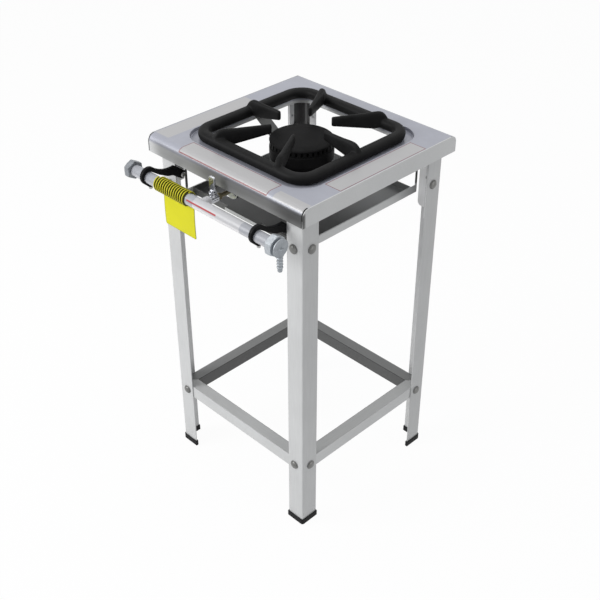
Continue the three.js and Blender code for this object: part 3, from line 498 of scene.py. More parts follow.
class Shader:
    """A material's node tree, with one way to add any node."""

    def __init__(self, name: str) -> None:
        """Starts a material with a bare surface shader.

        Args:
            name: The material's name.
        """
        self.material = bpy.data.materials.new(name)
        self.material.use_nodes = True
        self.tree = self.material.node_tree
        self.surface = next(n for n in self.tree.nodes if n.type == "BSDF_PRINCIPLED")

    def add(
        self,
        kind: str,
        settings: Mapping[str, object] | None = None,
        sockets: Mapping[str | int, object] | None = None,
        out: str | int = 0,
    ) -> Wire:
        """A node of any kind.

        Args:
            kind: The node's type.
            settings: Its properties, set first; "stops" holds a ramp's (place, colour) pairs.
            sockets: Values or wires for its inputs.
            out: The output that is returned.

        Returns:
            That output.
        """
        node = self.tree.nodes.new(kind)
        for name, value in (settings or {}).items():
            if name == "stops":
                self.ramp(node, value)
            else:
                setattr(node, name, value)
        for name, value in (sockets or {}).items():
            self.feed(node.inputs[name], value)
        return Wire(self, node.outputs[out])

    def ramp(self, node: bpy.types.Node, stops: Sequence[tuple[float, Sequence[float]]]) -> None:
        """Sets a ramp's stops."""
        elements = node.color_ramp.elements
        for index, (place, colour) in enumerate(stops):
            element = elements[index] if index < len(elements) else elements.new(place)
            element.position = place
            element.color = (*colour, 1.0)

    def feed(self, socket: bpy.types.NodeSocket, value: object) -> None:
        """Sets a socket to a number or colour, or links a wire to it."""
        if isinstance(value, Wire):
            self.tree.links.new(value.socket, socket)
        elif isinstance(value, tuple) and len(value) == 3 and socket.type == "RGBA":
            socket.default_value = (*value, 1.0)
        else:
            socket.default_value = value

    def objects(self) -> Wire:
        """The piece's own coordinates, in metres."""
        return self.add("ShaderNodeTexCoord", out="Object")

    def pattern(self, scale: Point) -> Wire:
        """The piece's coordinates counted from the stand's axis and scaled."""
        return self.add(
            "ShaderNodeMapping",
            {"vector_type": "POINT"},
            {
                "Vector": self.objects(),
                "Location": tuple(-AXIS_FOOT[i] * scale[i] for i in range(3)),
                "Scale": scale,
            },
        )

    def own(self) -> Wire:
        """The piece's coordinates counted from the stand's axis, in metres."""
        return self.pattern((1.0, 1.0, 1.0))

    def place(self) -> tuple[Wire, Wire, Wire]:
        """The three coordinates counted from the stand's axis, in millimetres."""
        first = self.add("ShaderNodeSeparateXYZ", sockets={0: self.pattern((1 / MM, 1 / MM, 1 / MM))})
        return tuple(Wire(self, output) for output in first.socket.node.outputs)

    def noise(self, vector: Wire, scale: float, detail: float = 3.0, rough: float = 0.55) -> Wire:
        """Soft noise from 0 to 1."""
        sockets = {"Vector": vector, "Scale": scale, "Detail": detail, "Roughness": rough}
        return self.add("ShaderNodeTexNoise", sockets=sockets)

    def mix(self, factor: Wire | float, low: Wire | Colour, high: Wire | Colour) -> Wire:
        """The colour that lies between two colours at the factor."""
        return self.add("ShaderNodeMix", {"data_type": "RGBA"}, {0: factor, 6: low, 7: high}, out=2)

    def mottle(self, cloud: Wire, colour: Colour, dark: float, light: float = 1.0) -> Wire:
        """The colour between a darker and a lighter share of itself, following a cloud of noise."""
        return self.mix(cloud.rise(0.3, 0.7), tinted(colour, dark), tinted(colour, light))

    def bump(self, height: Wire, depth: float, strength: float) -> Wire:
        """Surface direction for a height from 0 to 1 and a depth in millimetres."""
        sockets = {"Height": height, "Distance": depth * MM, "Strength": strength}
        return self.add("ShaderNodeBump", sockets=sockets)

    def finish(self, **sockets: object) -> bpy.types.Material:
        """Feeds the surface shader and returns the material; underscores in names stand for spaces."""
        for name, value in sockets.items():
            self.feed(self.surface.inputs[name.replace("_", " ")], value)
        return self.material


@dataclass(frozen=True)
class Wire:
    """An output of a node, with arithmetic that adds Math nodes."""

    shader: Shader
    socket: bpy.types.NodeSocket

    def math(self, operation: str, *others: Wire | float, swap: bool = False) -> Wire:
        """A Math node on this value and others.

        Args:
            operation: The node's operation.
            others: The further operands.
            swap: Whether this value comes last.

        Returns:
            The result.
        """
        operands = [*others, self] if swap else [self, *others]
        return self.shader.add("ShaderNodeMath", {"operation": operation}, dict(enumerate(operands)))

    def __add__(self, other: Wire | float) -> Wire:
        """Sum."""
        return self.math("ADD", other)

    __radd__ = __add__

    def __sub__(self, other: Wire | float) -> Wire:
        """Difference."""
        return self.math("SUBTRACT", other)

    def __rsub__(self, other: Wire | float) -> Wire:
        """Difference from a number."""
        return self.math("SUBTRACT", other, swap=True)

    def __mul__(self, other: Wire | float) -> Wire:
        """Product."""
        return self.math("MULTIPLY", other)

    __rmul__ = __mul__

    def __truediv__(self, other: Wire | float) -> Wire:
        """Quotient."""
        return self.math("DIVIDE", other)

    def rise(self, start: float, end: float) -> Wire:
        """A smooth step from 0 to 1.

        Args:
            start: Where it is still 0.
            end: Where it is 1, on either side of the start.

        Returns:
            The step.
        """
        low, high = min(start, end), max(start, end)
        step = self.shader.add(
            "ShaderNodeMapRange",
            {"interpolation_type": "SMOOTHSTEP"},
            {"Value": self, "From Min": low, "From Max": high},
        )
        return step if end > start else 1.0 - step

    def within(self, low: float, high: float, soft: float = 0.3) -> Wire:
        """1 between two values and 0 outside them, with soft ends."""
        return self.rise(low - soft, low + soft) * self.rise(high + soft, high - soft)


# ------------------------------------------------------------------------------------------------- finishes


@dataclass(frozen=True)
class Shade:
    """A step along an axis that starts at one place and is whole at another: mostly a painted shade, and also
    the edge of the film and of the pipe's foot and stripe.
    """

    axis: Axis
    start: float
    whole: float
    share: float = 1.0

    def amount(self, shader: Shader) -> Wire:
        """How dark the shade is at a place, from 0 to its share."""
        return shader.place()[self.axis.index].rise(self.start, self.whole) * self.share


@dataclass(frozen=True)
class SheetSteel:
    """Rolled sheet steel with a fine grain along one axis, and painted shades over it."""

    name: str
    grain: Axis
    colour: Colour = (0.60, 0.605, 0.605)
    metallic: float = 0.25
    roughness: float = 0.40
    shades: tuple[Shade, ...] = ()
    shadow: Colour = (0.02, 0.02, 0.019)
    gloss: float = 0.3
    grain_across: float = 1100.0
    grain_along: float = 22.0
    grain_depth: float = 0.03
    cloud_scale: float = 9.0
    darkest: float = 0.90
    lightest: float = 1.07

    def tones(self, shader: Shader) -> tuple[Wire, Wire, Wire]:
        """Colour, roughness and surface direction.

        Args:
            shader: The material's shader.

        Returns:
            The three of them.
        """
        stretched = shader.pattern(self.grain.stretch(self.grain_across, self.grain_along))
        grain = shader.noise(stretched, 1.0, 4.0, 0.6)
        cloud = shader.noise(shader.own(), self.cloud_scale, 2.0)
        streaks = (grain * 0.6 + cloud * 0.4).rise(0.25, 0.75)
        colour = shader.mix(streaks, tinted(self.colour, self.darkest), tinted(self.colour, self.lightest))
        # painted shade: each shade mixes the colour towards the shadow colour
        for shade in self.shades:
            colour = shader.mix(shade.amount(shader), colour, self.shadow)
        roughness = grain * 0.12 + cloud * 0.10 + (self.roughness - 0.11)
        return colour, roughness, shader.bump(grain, self.grain_depth, 0.5)

    def folded(self, shader: Shader, colour: Wire) -> Wire:
        """The colour with painted shade in its folds; a plain sheet has none."""
        return colour

    def material(self) -> bpy.types.Material:
        """The finish as a material.

        Returns:
            The material.
        """
        shader = Shader(self.name)
        colour, roughness, normal = self.tones(shader)
        return shader.finish(
            Base_Color=self.folded(shader, colour),
            Roughness=roughness,
            Normal=normal,
            Metallic=self.metallic,
            Specular_IOR_Level=self.gloss,
        )


@dataclass(frozen=True)
class CornerSteel(SheetSteel):
    """Sheet steel folded into a corner: painted shade darkens the fold, and the outer strips stay light."""

    strip_x: float = 154.0
    strip_y: float = 157.0
    soft: float = 1.0
    dark: float = 0.88

    def folded(self, shader: Shader, colour: Wire) -> Wire:
        """The colour with painted shade in the fold between the strips.

        Args:
            shader: The material's shader.
            colour: The colour without it.

        Returns:
            The colour.
        """
        x, y, _ = shader.place()
        past_x = x.math("ABSOLUTE").rise(self.strip_x, self.strip_x + self.soft)
        past_y = y.math("ABSOLUTE").rise(self.strip_y, self.strip_y + self.soft)
        # painted shade in the fold, where the place is past both strips
        return shader.mix(past_x * past_y * self.dark, colour, self.shadow)


@dataclass(frozen=True)
class DishSteel(SheetSteel):
    """Sheet steel folded into a dish: painted shade and painted reflection darken its inside, darkest at one
    corner, and its outside is light.
    """

    low: Point = (0.0, 0.0, 0.0)
    high: Point = (0.0, 0.0, 0.0)
    sheet: float = 0.6
    soft: float = 0.1
    dark: float = 0.94
    corner: tuple[float, float] = (40.0, 150.0)
    corner_share: float = 0.12
    back: tuple[float, float] = (-40.0, 120.0)
    back_share: float = 0.30

    def folded(self, shader: Shader, colour: Wire) -> Wire:
        """The colour with painted shade and painted reflection on the inside: less so away from the front
        right corner, and less to the back.

        Args:
            shader: The material's shader.
            colour: The colour without it.

        Returns:
            The colour.
        """
        x, y, z = shader.place()
        floor = self.low[2] + self.sheet
        inside = (
            x.within(self.low[0] + self.sheet, self.high[0] - self.sheet, self.soft)
            * y.within(self.low[1] + self.sheet, self.high[1] - self.sheet, self.soft)
            * z.rise(floor - self.soft, floor + self.soft)
        )
        off_x, off_y = x - self.high[0], y - self.low[1]
        away = (off_x * off_x + off_y * off_y).math("SQRT")
        lighter = away.rise(*self.corner) * self.corner_share + y.rise(*self.back) * self.back_share
        # painted shade and painted reflection on the tray's inside
        return shader.mix(inside * (self.dark - lighter), colour, self.shadow)


@dataclass(frozen=True)
class Panel:
    """A plain rectangle on the top sheet: its limits in x and y, and how strong its thin border is."""

    x: tuple[float, float]
    y: tuple[float, float]
    border: float = 0.0

    def inside(self, x: Wire, y: Wire, inset: float = 0.0) -> Wire:
        """1 on the rectangle less an inset, and 0 off it."""
        return x.within(self.x[0] + inset, self.x[1] - inset) * y.within(self.y[0] + inset, self.y[1] - inset)


@dataclass(frozen=True)
class FilmedSteel(SheetSteel):
    """The top sheet's steel under a faintly blue film, with plain panels that are left bare.

    Painted shade: the front skirt darkens at three places along it, more below its bend and a little less at
    its foot;
    the left and back bends darken at their height, and so does the open seam at the front right corner.
    """

    film: Colour = (0.365, 0.375, 0.43)
    panel: Colour = (0.44, 0.435, 0.435)
    panel_share: float = 0.9
    border: Colour = (0.17, 0.03, 0.034)
    border_width: float = 1.4
    panels: tuple[Panel, ...] = (
        Panel((-114.0, 113.0), (-196.0, -160.0), 0.95),
        Panel((161.0, 197.0), (-107.0, 114.0), 0.95),
        Panel((126.0, 197.0), (-195.0, -175.0)),
        Panel((-196.0, -160.0), (-181.0, 39.0)),
    )
    film_height: Shade = Shade(Axis.Z, 725.0, 731.0)
    film_half: float = 198.3
    film_smoothing: float = 0.08
    film_dulling: float = 0.1
    coat: float = 0.3
    coat_roughness: float = 0.22
    # painted shade on the front skirt, on the left and back bends and at the seam by the front right corner
    skirt_places: tuple[Shade, ...] = (
        Shade(Axis.X, -199.0, -160.0, 0.48),
        Shade(Axis.X, -100.0, -20.0, 0.26),
        Shade(Axis.X, 110.0, 160.0, 0.14),
    )
    skirt_face: Shade = Shade(Axis.Y, -190.0, -195.0)
    skirt_height: Shade = Shade(Axis.Z, 737.5, 729.0)
    skirt_foot: Shade = Shade(Axis.Z, 720.0, 706.0, 0.15)
    left_bend: Shade = Shade(Axis.X, -197.4, -199.4)
    back_bend: Shade = Shade(Axis.Y, 195.4, 197.4)
    bend_height: Shade = Shade(Axis.Z, 733.0, 736.0, 0.55)
    seam_inner: Shade = Shade(Axis.X, 195.2, 196.0)
    seam_outer: Shade = Shade(Axis.X, 198.7, 198.4)
    seam_front: Shade = Shade(Axis.Y, -183.0, -186.0, 0.9)

    def material(self) -> bpy.types.Material:
        """The finish as a material.

        Returns:
            The material.
        """
        shader = Shader(self.name)
        colour, roughness, normal = self.tones(shader)
        x, y, _ = shader.place()
        smear = shader.noise(shader.own(), 26.0, 4.0, 0.65)
        level = self.film_height.amount(shader) * x.within(-self.film_half, self.film_half)
        colour = shader.mix(level, colour, shader.mottle(smear, self.film, 0.93))
        for panel in self.panels:
            whole = panel.inside(x, y) * level
            colour = shader.mix(whole * self.panel_share, colour, self.panel)
            if panel.border:
                rim = whole * (1.0 - panel.inside(x, y, self.border_width))
                colour = shader.mix(rim * panel.border, colour, self.border)
        return shader.finish(
            Base_Color=shader.mix(self.painted_shade_amount(shader), colour, self.shadow),
            Roughness=roughness - level * self.film_smoothing,
            Normal=normal,
            Metallic=self.metallic - level * self.film_dulling,
            Specular_IOR_Level=self.gloss,
            Coat_Weight=level * self.coat,
            Coat_Roughness=self.coat_roughness,
        )

    def painted_shade_amount(self, shader: Shader) -> Wire:
        """How dark the painted shade on the skirt, the bends and the seam is: the greatest of the three at
        each place.

        Args:
            shader: The material's shader.

        Returns:
            The darkness, from 0 to 1.
        """
        along = sum(place.amount(shader) for place in self.skirt_places)
        skirt = self.skirt_face.amount(shader) * self.skirt_height.amount(shader)
        skirt = skirt * (1.0 - self.skirt_foot.amount(shader)) * along
        bend = self.left_bend.amount(shader).math("MAXIMUM", self.back_bend.amount(shader))
        bend = bend * self.bend_height.amount(shader)
        seam = self.seam_inner.amount(shader) * self.seam_outer.amount(shader)
        seam = seam * self.seam_front.amount(shader)
        return skirt.math("MAXIMUM", bend).math("MAXIMUM", seam)


@dataclass(frozen=True)
class CastIron:
    """Sand-cast iron, black and finely grained."""

    name: str
    colour: Colour = (0.007, 0.007, 0.0072)
    gloss: float = 0.10
    grain: float = 900.0
    depth: float = 0.22
    roughness: float = 0.56

    def material(self) -> bpy.types.Material:
        """The finish as a material.

        Returns:
            The material.
        """
        shader = Shader(self.name)
        sand = shader.noise(shader.own(), self.grain, 3.0, 0.6)
        cloud = shader.noise(shader.own(), 30.0, 3.0)
        return shader.finish(
            Base_Color=shader.mottle(cloud, self.colour, 0.8, 1.5),
            Roughness=sand * 0.14 + cloud * 0.12 + (self.roughness - 0.13),
            Normal=shader.bump(sand, self.depth, 0.45),
            Metallic=0.0,
            Specular_IOR_Level=self.gloss,
        )


@dataclass(frozen=True)
class Moulded:
    """Moulded rubber or plastic, or paint: an even colour over a fine skin."""

    name: str
    colour: Colour
    roughness: float
    skin: float = 1400.0
    depth: float = 0.06
    gloss: float = 0.3

    def material(self) -> bpy.types.Material:
        """The finish as a material.

        Returns:
            The material.
        """
        shader = Shader(self.name)
        skin = shader.noise(shader.own(), self.skin, 2.0)
        cloud = shader.noise(shader.own(), 45.0, 3.0)
        return shader.finish(
            Base_Color=shader.mottle(cloud, self.colour, 0.85, 1.1),
            Roughness=skin * 0.1 + cloud * 0.12 + (self.roughness - 0.11),
            Normal=shader.bump(skin, self.depth, 0.5),
            Specular_IOR_Level=self.gloss,
        )


@dataclass(frozen=True)
class Plated:
    """Plated or bare turned metal, with faint turning marks and smears."""

    name: str
    colour: Colour
    roughness: float
    metallic: float = 0.9
    marks: Axis = Axis.X

    def material(self) -> bpy.types.Material:
        """The finish as a material.

        Returns:
            The material.
        """
        shader = Shader(self.name)
        lines = shader.noise(shader.pattern(self.marks.stretch(40.0, 2600.0)), 1.0, 2.0)
        smear = shader.noise(shader.own(), 120.0, 4.0, 0.65)
        return shader.finish(
            Base_Color=shader.mottle(smear, self.colour, 0.82, 1.08),
            Roughness=smear * 0.16 + lines * 0.06 + (self.roughness - 0.11),
            Normal=shader.bump(lines, 0.02, 0.4),
            Metallic=self.metallic,
        )


@dataclass(frozen=True)
class PaintedPipe:
    """Pale gloss paint with one plain band, lighter to its underside, and a red stripe along the front."""

    name: str
    paint: Colour = (0.36, 0.37, 0.40)
    band: Colour = (0.49, 0.49, 0.505)
    foot: Colour = (0.95, 0.93, 0.94)
    stripe: Colour = (0.40, 0.008, 0.012)
    band_x: tuple[float, float] = (-8.0, 110.0)
    foot_height: Shade = Shade(Axis.Z, 694.0, 689.0)
    foot_share: float = 0.25
    foot_on_band: float = 0.35
    stripe_x: tuple[float, float] = (-24.0, 52.0)
    stripe_z: tuple[float, float] = (694.2, 697.0)
    stripe_front: Shade = Shade(Axis.Y, -246.0, -247.0, 0.9)
    roughness: float = 0.26
    gloss: float = 0.35

    def material(self) -> bpy.types.Material:
        """The finish as a material.

        Returns:
            The material.
        """
        shader = Shader(self.name)
        x, _, z = shader.place()
        skin = shader.noise(shader.own(), 700.0, 2.0)
        cloud = shader.noise(shader.own(), 40.0, 3.0)
        on_band = x.within(*self.band_x)
        colour = shader.mix(on_band, shader.mottle(cloud, self.paint, 0.92), self.band)
        foot = self.foot_height.amount(shader) * (on_band * self.foot_on_band + self.foot_share)
        colour = shader.mix(foot, colour, self.foot)
        stripe = x.within(*self.stripe_x) * z.within(*self.stripe_z) * self.stripe_front.amount(shader)
        return shader.finish(
            Base_Color=shader.mix(stripe, colour, self.stripe),
            Roughness=skin * 0.08 + cloud * 0.1 + self.roughness,
            Normal=shader.bump(skin, 0.05, 0.4),
            Specular_IOR_Level=self.gloss,
        )


@dataclass(frozen=True)
class WoundPlastic:
    """Yellow strand whose flanks, between one turn and the next, are dark with painted shade."""

    name: str
    start: float
    pitch: float
    pipe_y: float
    pipe_z: float
    bright: Colour = (0.60, 0.56, 0.02)
    dark: Colour = (0.055, 0.052, 0.010)
    ridge: tuple[float, float] = (0.29, 0.71)
    ridge_soft: float = 0.07
    whole_turns: float = 20.75
    roughness: float = 0.33
    gloss: float = 0.25

    def material(self) -> bpy.types.Material:
        """The finish as a material.

        The phase is the fraction of (x - start) / pitch less the turn about the pipe; whole turns are added
        so that it stays positive.

        Returns:
            The material.
        """
        shader = Shader(self.name)
        x, y, z = shader.place()
        turn = (z - self.pipe_z).math("ARCTAN2", y - self.pipe_y) / TURN
        phase = ((x - self.start) / self.pitch - turn + self.whole_turns).math("FRACT")
        ridge = phase.within(*self.ridge, self.ridge_soft)
        cloud = shader.noise(shader.own(), 160.0, 3.0)
        # the dark flanks are painted shade between the turns
        return shader.finish(
            Base_Color=shader.mix(ridge, self.dark, shader.mottle(cloud, self.bright, 0.88)),
            Roughness=cloud * 0.15 + self.roughness,
            Normal=shader.bump(cloud, 0.05, 0.4),
            Specular_IOR_Level=self.gloss,
        )


@dataclass(frozen=True)
class Card:
    """Stiff yellow card with a darker rim along its sides and foot; its face is bare."""

    name: str
    x: tuple[float, float]
    z: tuple[float, float]
    colour: Colour = (0.68, 0.65, 0.010)
    side_rim: float = 1.6
    foot_rim: float = 1.2
    head_rim: float = -4.0
    rim_soft: float = 0.5
    rim_share: float = 0.62
    roughness: float = 0.42
    gloss: float = 0.2

    def material(self) -> bpy.types.Material:
        """The finish as a material.

        Returns:
            The material.
        """
        shader = Shader(self.name)
        x, _, z = shader.place()
        fibre = shader.noise(shader.own(), 520.0, 3.0)
        cloud = shader.noise(shader.own(), 28.0, 3.0)
        inner = x.within(self.x[0] + self.side_rim, self.x[1] - self.side_rim, self.rim_soft)
        inner = inner * z.within(self.z[0] + self.foot_rim, self.z[1] - self.head_rim, self.rim_soft)
        face = shader.mottle(cloud, self.colour, 0.94)
        return shader.finish(
            Base_Color=shader.mix(inner, tinted(self.colour, self.rim_share), face),
            Roughness=fibre * 0.12 + cloud * 0.1 + self.roughness,
            Normal=shader.bump(fibre, 0.05, 0.5),
            Specular_IOR_Level=self.gloss,
        )


# ------------------------------------------------------------------------------------------- sub-assemblies


@dataclass
class FoldedTop:
    """The top sheet with its bends, pressed recess and turned-down lip."""

    edge: float = 1.3
    pressed_half: float = 158.0
    pressed_low: float = 730.0
    cut_share: float = 0.35

    def softness(self, middle: Array) -> Array:
        """Share of the rounding: whole at the pressed recess and lip, less along the cut edges.

        Args:
            middle: Middles of the edges.

        Returns:
            The share at each of them.
        """
        inside = np.max(np.abs(middle[:, :2]), axis=1) < self.pressed_half
        return np.where(inside & (middle[:, 2] > self.pressed_low), 1.0, self.cut_share)

    def build(self) -> None:
        """Builds the sheet and dresses it."""
        piece = refined("top_sheet", self.edge, self.softness, segments=3)
        settle(piece, "stand", ["top_sheet"], FilmedSteel("top_steel", Axis.X).material())


@dataclass
class LegFrame:
    """Angle legs with their feet, the corner brackets, the lower rails and all bolts between them."""

    corners: tuple[str, ...] = ("front_left", "front_right", "back_left", "back_right")
    head_radius: float = 9.0
    head_height: float = 5.0
    rim_height: float = 1.6
    rim_inset: float = 1.4
    shank_radius: float = 3.0
    shank_length: float = 11.0
    nut_flats: float = 10.0
    nut_corner_share: float = 0.578
    nut_worn_share: float = 0.88
    nut_height: float = 5.0
    nut_seat: float = 4.6
    nut_chamfer: float = 0.8
    nut_clearance: float = 0.05
    leg_edge: float = 0.45
    foot_edge: float = 0.7
    bracket_edge: float = 0.4
    rail_edge: float = 0.5
    rail_top_painted_shade: tuple[tuple[str, float], ...] = (
        ("front", 0.22), ("back", 0.72), ("left", 0.67), ("right", 0.35),
    )
    rail_inner_painted_shade: float = 0.85

    def bolt(self, name: str, axis: Axis, sign: float, seat: Point) -> bpy.types.Object:
        """One bolt: a domed head with a low rim on a shank, and a chamfered hexagon nut.

        The head's profile is a quarter ellipse above a rounded rim, turned round the bolt's axis; the nut is
        the lesser of a chamfer cone and a hexagon, turned the same way.

        Args:
            name: The piece's name.
            axis: The bolt's axis.
            sign: Side that the head faces.
            seat: Point on the axis at the leg's face.

        Returns:
            The piece.
        """
        t = np.linspace(0, 1, 10) * TURN / 4
        dome_radius, dome_foot = self.head_radius - self.rim_inset, GAP + self.rim_height
        dome_rise = self.head_height - self.rim_height
        dome = np.stack([dome_radius * np.cos(t), dome_foot + dome_rise * np.sin(t)], axis=1)
        rim = rounded([
            (0.0, -self.shank_length), (self.shank_radius - 0.4, -self.shank_length),
            (self.shank_radius, -self.shank_length + 0.5), (self.shank_radius, GAP), (self.head_radius, GAP),
            (self.head_radius, dome_foot - 0.1), (dome_radius, dome_foot),
        ], 0.5, 3)
        head = np.concatenate([rim, dome[1:]])
        head[-1, 0] = 0.0
        low, high = -self.nut_seat - self.nut_height, -self.nut_seat
        wide, bore = self.nut_flats * self.nut_corner_share, self.shank_radius + self.nut_clearance
        worn = wide * self.nut_worn_share
        nut = np.array([
            (bore, low), (worn, low), (wide, low + self.nut_chamfer), (wide, high - self.nut_chamfer),
            (worn, high), (bore, high),
        ])
        flip = np.array([1.0, sign])
        turned_head = revolved(head * flip, axis, seat, 40)
        turned_nut = revolved(nut * flip, axis, seat, 48, self.nut_flats, True)
        return meshed(name, turned_head + turned_nut, 34.0)

    def bolts(self) -> None:
        """All sixteen leg bolts, placed on their CAD nodes."""
        steel = Plated("bolt_steel", (0.20, 0.20, 0.195), 0.34, 0.8).material()
        for corner in self.corners:
            for level in ("upper", "lower"):
                for letter, axis in (("x", Axis.X), ("y", Axis.Y)):
                    node = f"bolt_{level}_{corner}_{letter}"
                    low, high = node_box(node)
                    along = axis.index
                    sign = 1.0 if (low + high)[along] > 0 else -1.0
                    seat = (low + high) / 2
                    seat[along] = (high if sign > 0 else low)[along] - sign * (self.head_height + GAP)
                    piece = self.bolt(f"{node}_turned", axis, sign, tuple(seat))
                    settle(piece, "stand", [node], steel)

    def uprights(self) -> None:
        """The legs with their feet and corner brackets."""
        # Painted shade: the right legs' outer faces are a little darker, and each leg is dark above the top
        # sheet's lowest edge, where only the corner slit shows it.
        outer = node_box("leg_front_right")[1][0]
        head = node_box("top_sheet")[0][2]
        shades = (Shade(Axis.X, outer - 0.6, outer - 0.2, 0.10), Shade(Axis.Z, head, head + 1.5, 0.85))
        steel = SheetSteel("leg_steel", Axis.Z, shades=shades).material()
        # The brackets' steel is paler than the legs' as painted light on their outer strips; their fold
        # carries painted shade.
        folded = CornerSteel("bracket_steel", Axis.Z, (0.82, 0.82, 0.82), 0.1).material()
        rubber = Moulded("foot_rubber", (0.010, 0.010, 0.011), 0.62, gloss=0.15).material()
        for corner in self.corners:
            leg, foot, bracket = f"leg_{corner}", f"foot_{corner}", f"corner_bracket_{corner}"
            settle(refined(leg, self.leg_edge), "stand", [leg], steel)
            settle(refined(foot, self.foot_edge), "stand", [foot], rubber)
            settle(refined(bracket, self.bracket_edge), "stand", [bracket], folded)

    def rails(self) -> None:
        """The lower rails, each with painted shade: dark on its inner face and darker on its top than in
        front.
        """
        for side, share in self.rail_top_painted_shade:
            node = f"lower_rail_{side}"
            low, high = node_box(node)
            grain, cross = (Axis.X, Axis.Y) if side in ("front", "back") else (Axis.Y, Axis.X)
            inward = -1.0 if low[cross.index] > 0 else 1.0
            inner = (high if inward > 0 else low)[cross.index]
            # painted shade on the rail's top and on its inner face
            shades = (
                Shade(Axis.Z, high[2] - 1.2, high[2] - 0.7, share),
                Shade(cross, inner - inward * 1.2, inner - inward * 0.7, self.rail_inner_painted_shade),
            )
            steel = SheetSteel(f"rail_steel_{side}", grain, shades=shades).material()
            settle(refined(node, self.rail_edge), "stand", [node], steel)

    def build(self) -> None:
        """Builds the frame and dresses it."""
        self.uprights()
        self.rails()
        self.bolts()


@dataclass
class DripTrayUnit:
    """The drip tray and the two runners that it slides on, whose hangers carry painted shade."""

    tray_edge: float = 0.35
    runner_edge: float = 0.3
    hanger_rise: tuple[float, float] = (2.0, 6.0)
    hanger_painted_shade: float = 0.85

    def build(self) -> None:
        """Builds the tray and its runners and dresses them."""
        low, high = node_box("drip_tray")
        dish = DishSteel("tray_steel", Axis.Y, (0.56, 0.57, 0.57), low=tuple(low), high=tuple(high))
        tray = refined("drip_tray", self.tray_edge)
        settle(tray, "drip_tray", ["drip_tray"], dish.material())
        # painted shade on the runners' hangers above the tray's rim
        start, whole = (high[2] + rise for rise in self.hanger_rise)
        painted_hanger_shade = Shade(Axis.Z, start, whole, self.hanger_painted_shade)
        steel = SheetSteel("runner_steel", Axis.Y, shades=(painted_hanger_shade,)).material()
        for side in Side:
            node = f"tray_runner_{side.word}"
            settle(refined(node, self.runner_edge), "stand", [node], steel)


@dataclass
class GrateUnit:
    """The cast pot grate: a rounded bar round a rounded square, and six fingers that reach in."""

    half: float = 135.5
    corner: float = 34.0
    corner_steps: int = 12
    bar: tuple[float, float] = (11.0, 10.0)
    bar_middle: float = 743.3
    bar_power: float = 2.7
    bar_taper: float = 0.10
    section_points: int = 28
    fingers: int = 6
    finger_power: float = 3.2
    reach: float = 56.0
    overhang: float = 9.2
    knob_inset: float = 12.0
    tip_width: float = 8.0
    root_width: float = 13.0
    rest: float = 767.0
    knob_rise: float = 1.1
    knob_places: tuple[float, ...] = (-26.0, -20.0, -12.0, -6.0, 0.0)
    knob_shares: tuple[float, ...] = (0.0, 0.12, 0.75, 0.97, 1.0)
    fall_places: tuple[float, ...] = (0.0, 6.0, 12.0, 17.0)
    falls: tuple[float, ...] = (0.0, 1.0, 4.5, 10.5)
    end_fall: float = 22.0
    tip_depth: float = 18.0
    voxel: float = 1.5

    def ring(self) -> Shape:
        """The bar: a rounded section (out, up) carried round a square whose corners are quarter circles.

        Each corner's middle is (cx, cy), and a point of the bar lies at the corner's radius plus out from it,
        in the direction of the turn, and at the bar's middle plus up. The section's foot is a tenth narrower.

        Returns:
            The shape.
        """
        rows = self.corner_steps + 1
        quarter = np.repeat(np.arange(4), rows) * TURN / 4
        turn = np.arange(4 * rows) % rows / self.corner_steps * TURN / 4 + quarter
        centre = quarter + TURN / 8
        straight = self.half - self.corner
        cx, cy = np.sign(np.cos(centre)) * straight, np.sign(np.sin(centre)) * straight
        v = np.arange(self.section_points) / self.section_points * TURN
        out, up = squared(v, self.bar_power)
        out, up = out * self.bar[0] * (1 - self.bar_taper * (up < 0) * -up), up * self.bar[1]
        reach = self.corner + out[None, :]
        points = np.stack([
            cx[:, None] + np.cos(turn)[:, None] * reach,
            cy[:, None] + np.sin(turn)[:, None] * reach,
            np.broadcast_to(self.bar_middle + up, (len(turn), len(v))),
        ], axis=-1)
        return grid(points, loop_rows=True)

    def finger(self, turn: float) -> Shape:
        """One finger: a rounded box section whose width and height change along it, from its tip outwards.

        Its top runs level at the pot rest, rises to a knob just inside the bar and falls over the bar; its
        underside falls from the tip's depth to the bar's foot.

        Args:
            turn: Direction of the finger in radians.

        Returns:
            The shape.
        """
        at_ring = self.half / max(abs(math.cos(turn)), abs(math.sin(turn)))
        outer, knob = at_ring + self.overhang, at_ring - self.knob_inset
        s = np.concatenate([
            self.reach + 3.0 * (1 - np.cos(np.linspace(0.0, 1.0, 6) * TURN / 4)),
            np.linspace(self.reach + 5.0, outer - 5.0, 46),
            outer - 4.0 * (1 - np.sin(np.linspace(0.1, 1.0, 6) * TURN / 4)),
        ])
        share = (s - self.reach) / (outer - self.reach)
        width = self.tip_width + (self.root_width - self.tip_width) * share
        round_end = np.sqrt(np.clip(1 - ((self.reach + 4.0 - s) / 4.2).clip(0, 1) ** 2, 0.02, 1))
        rise = np.interp(s, knob + np.array(self.knob_places), self.knob_shares)
        fall = np.interp(s, [*(knob + np.array(self.fall_places)), outer], [*self.falls, self.end_fall])
        top = self.rest + self.knob_rise * rise - fall
        foot = self.bar_middle - self.bar[1]
        under = np.interp(
            s,
            [self.reach, at_ring - 18.0, at_ring, outer],
            [self.rest - self.tip_depth, foot + 1.0, foot + 3.0, foot + 5.0],
        )
        v = np.arange(self.section_points) / self.section_points * TURN
        across, up = squared(v, self.finger_power)
        middle, tall = (top + under) / 2, (top - under) / 2
        points = np.stack([
            np.broadcast_to(s[:, None], (len(s), len(v))),
            (width * round_end / 2)[:, None] * across,
            middle[:, None] + tall[:, None] * up,
        ], axis=-1)
        return grid(capped(points)).turned(turn)

    def build(self) -> None:
        """Casts the grate in one and dresses it."""
        shape = self.ring()
        for index in range(self.fingers):
            shape = shape + self.finger(index * TURN / self.fingers)
        piece = cast("pot_grate_cast", shape, self.voxel)
        settle(piece, "pot_grate", ["pot_grate"], CastIron("grate_iron").material())


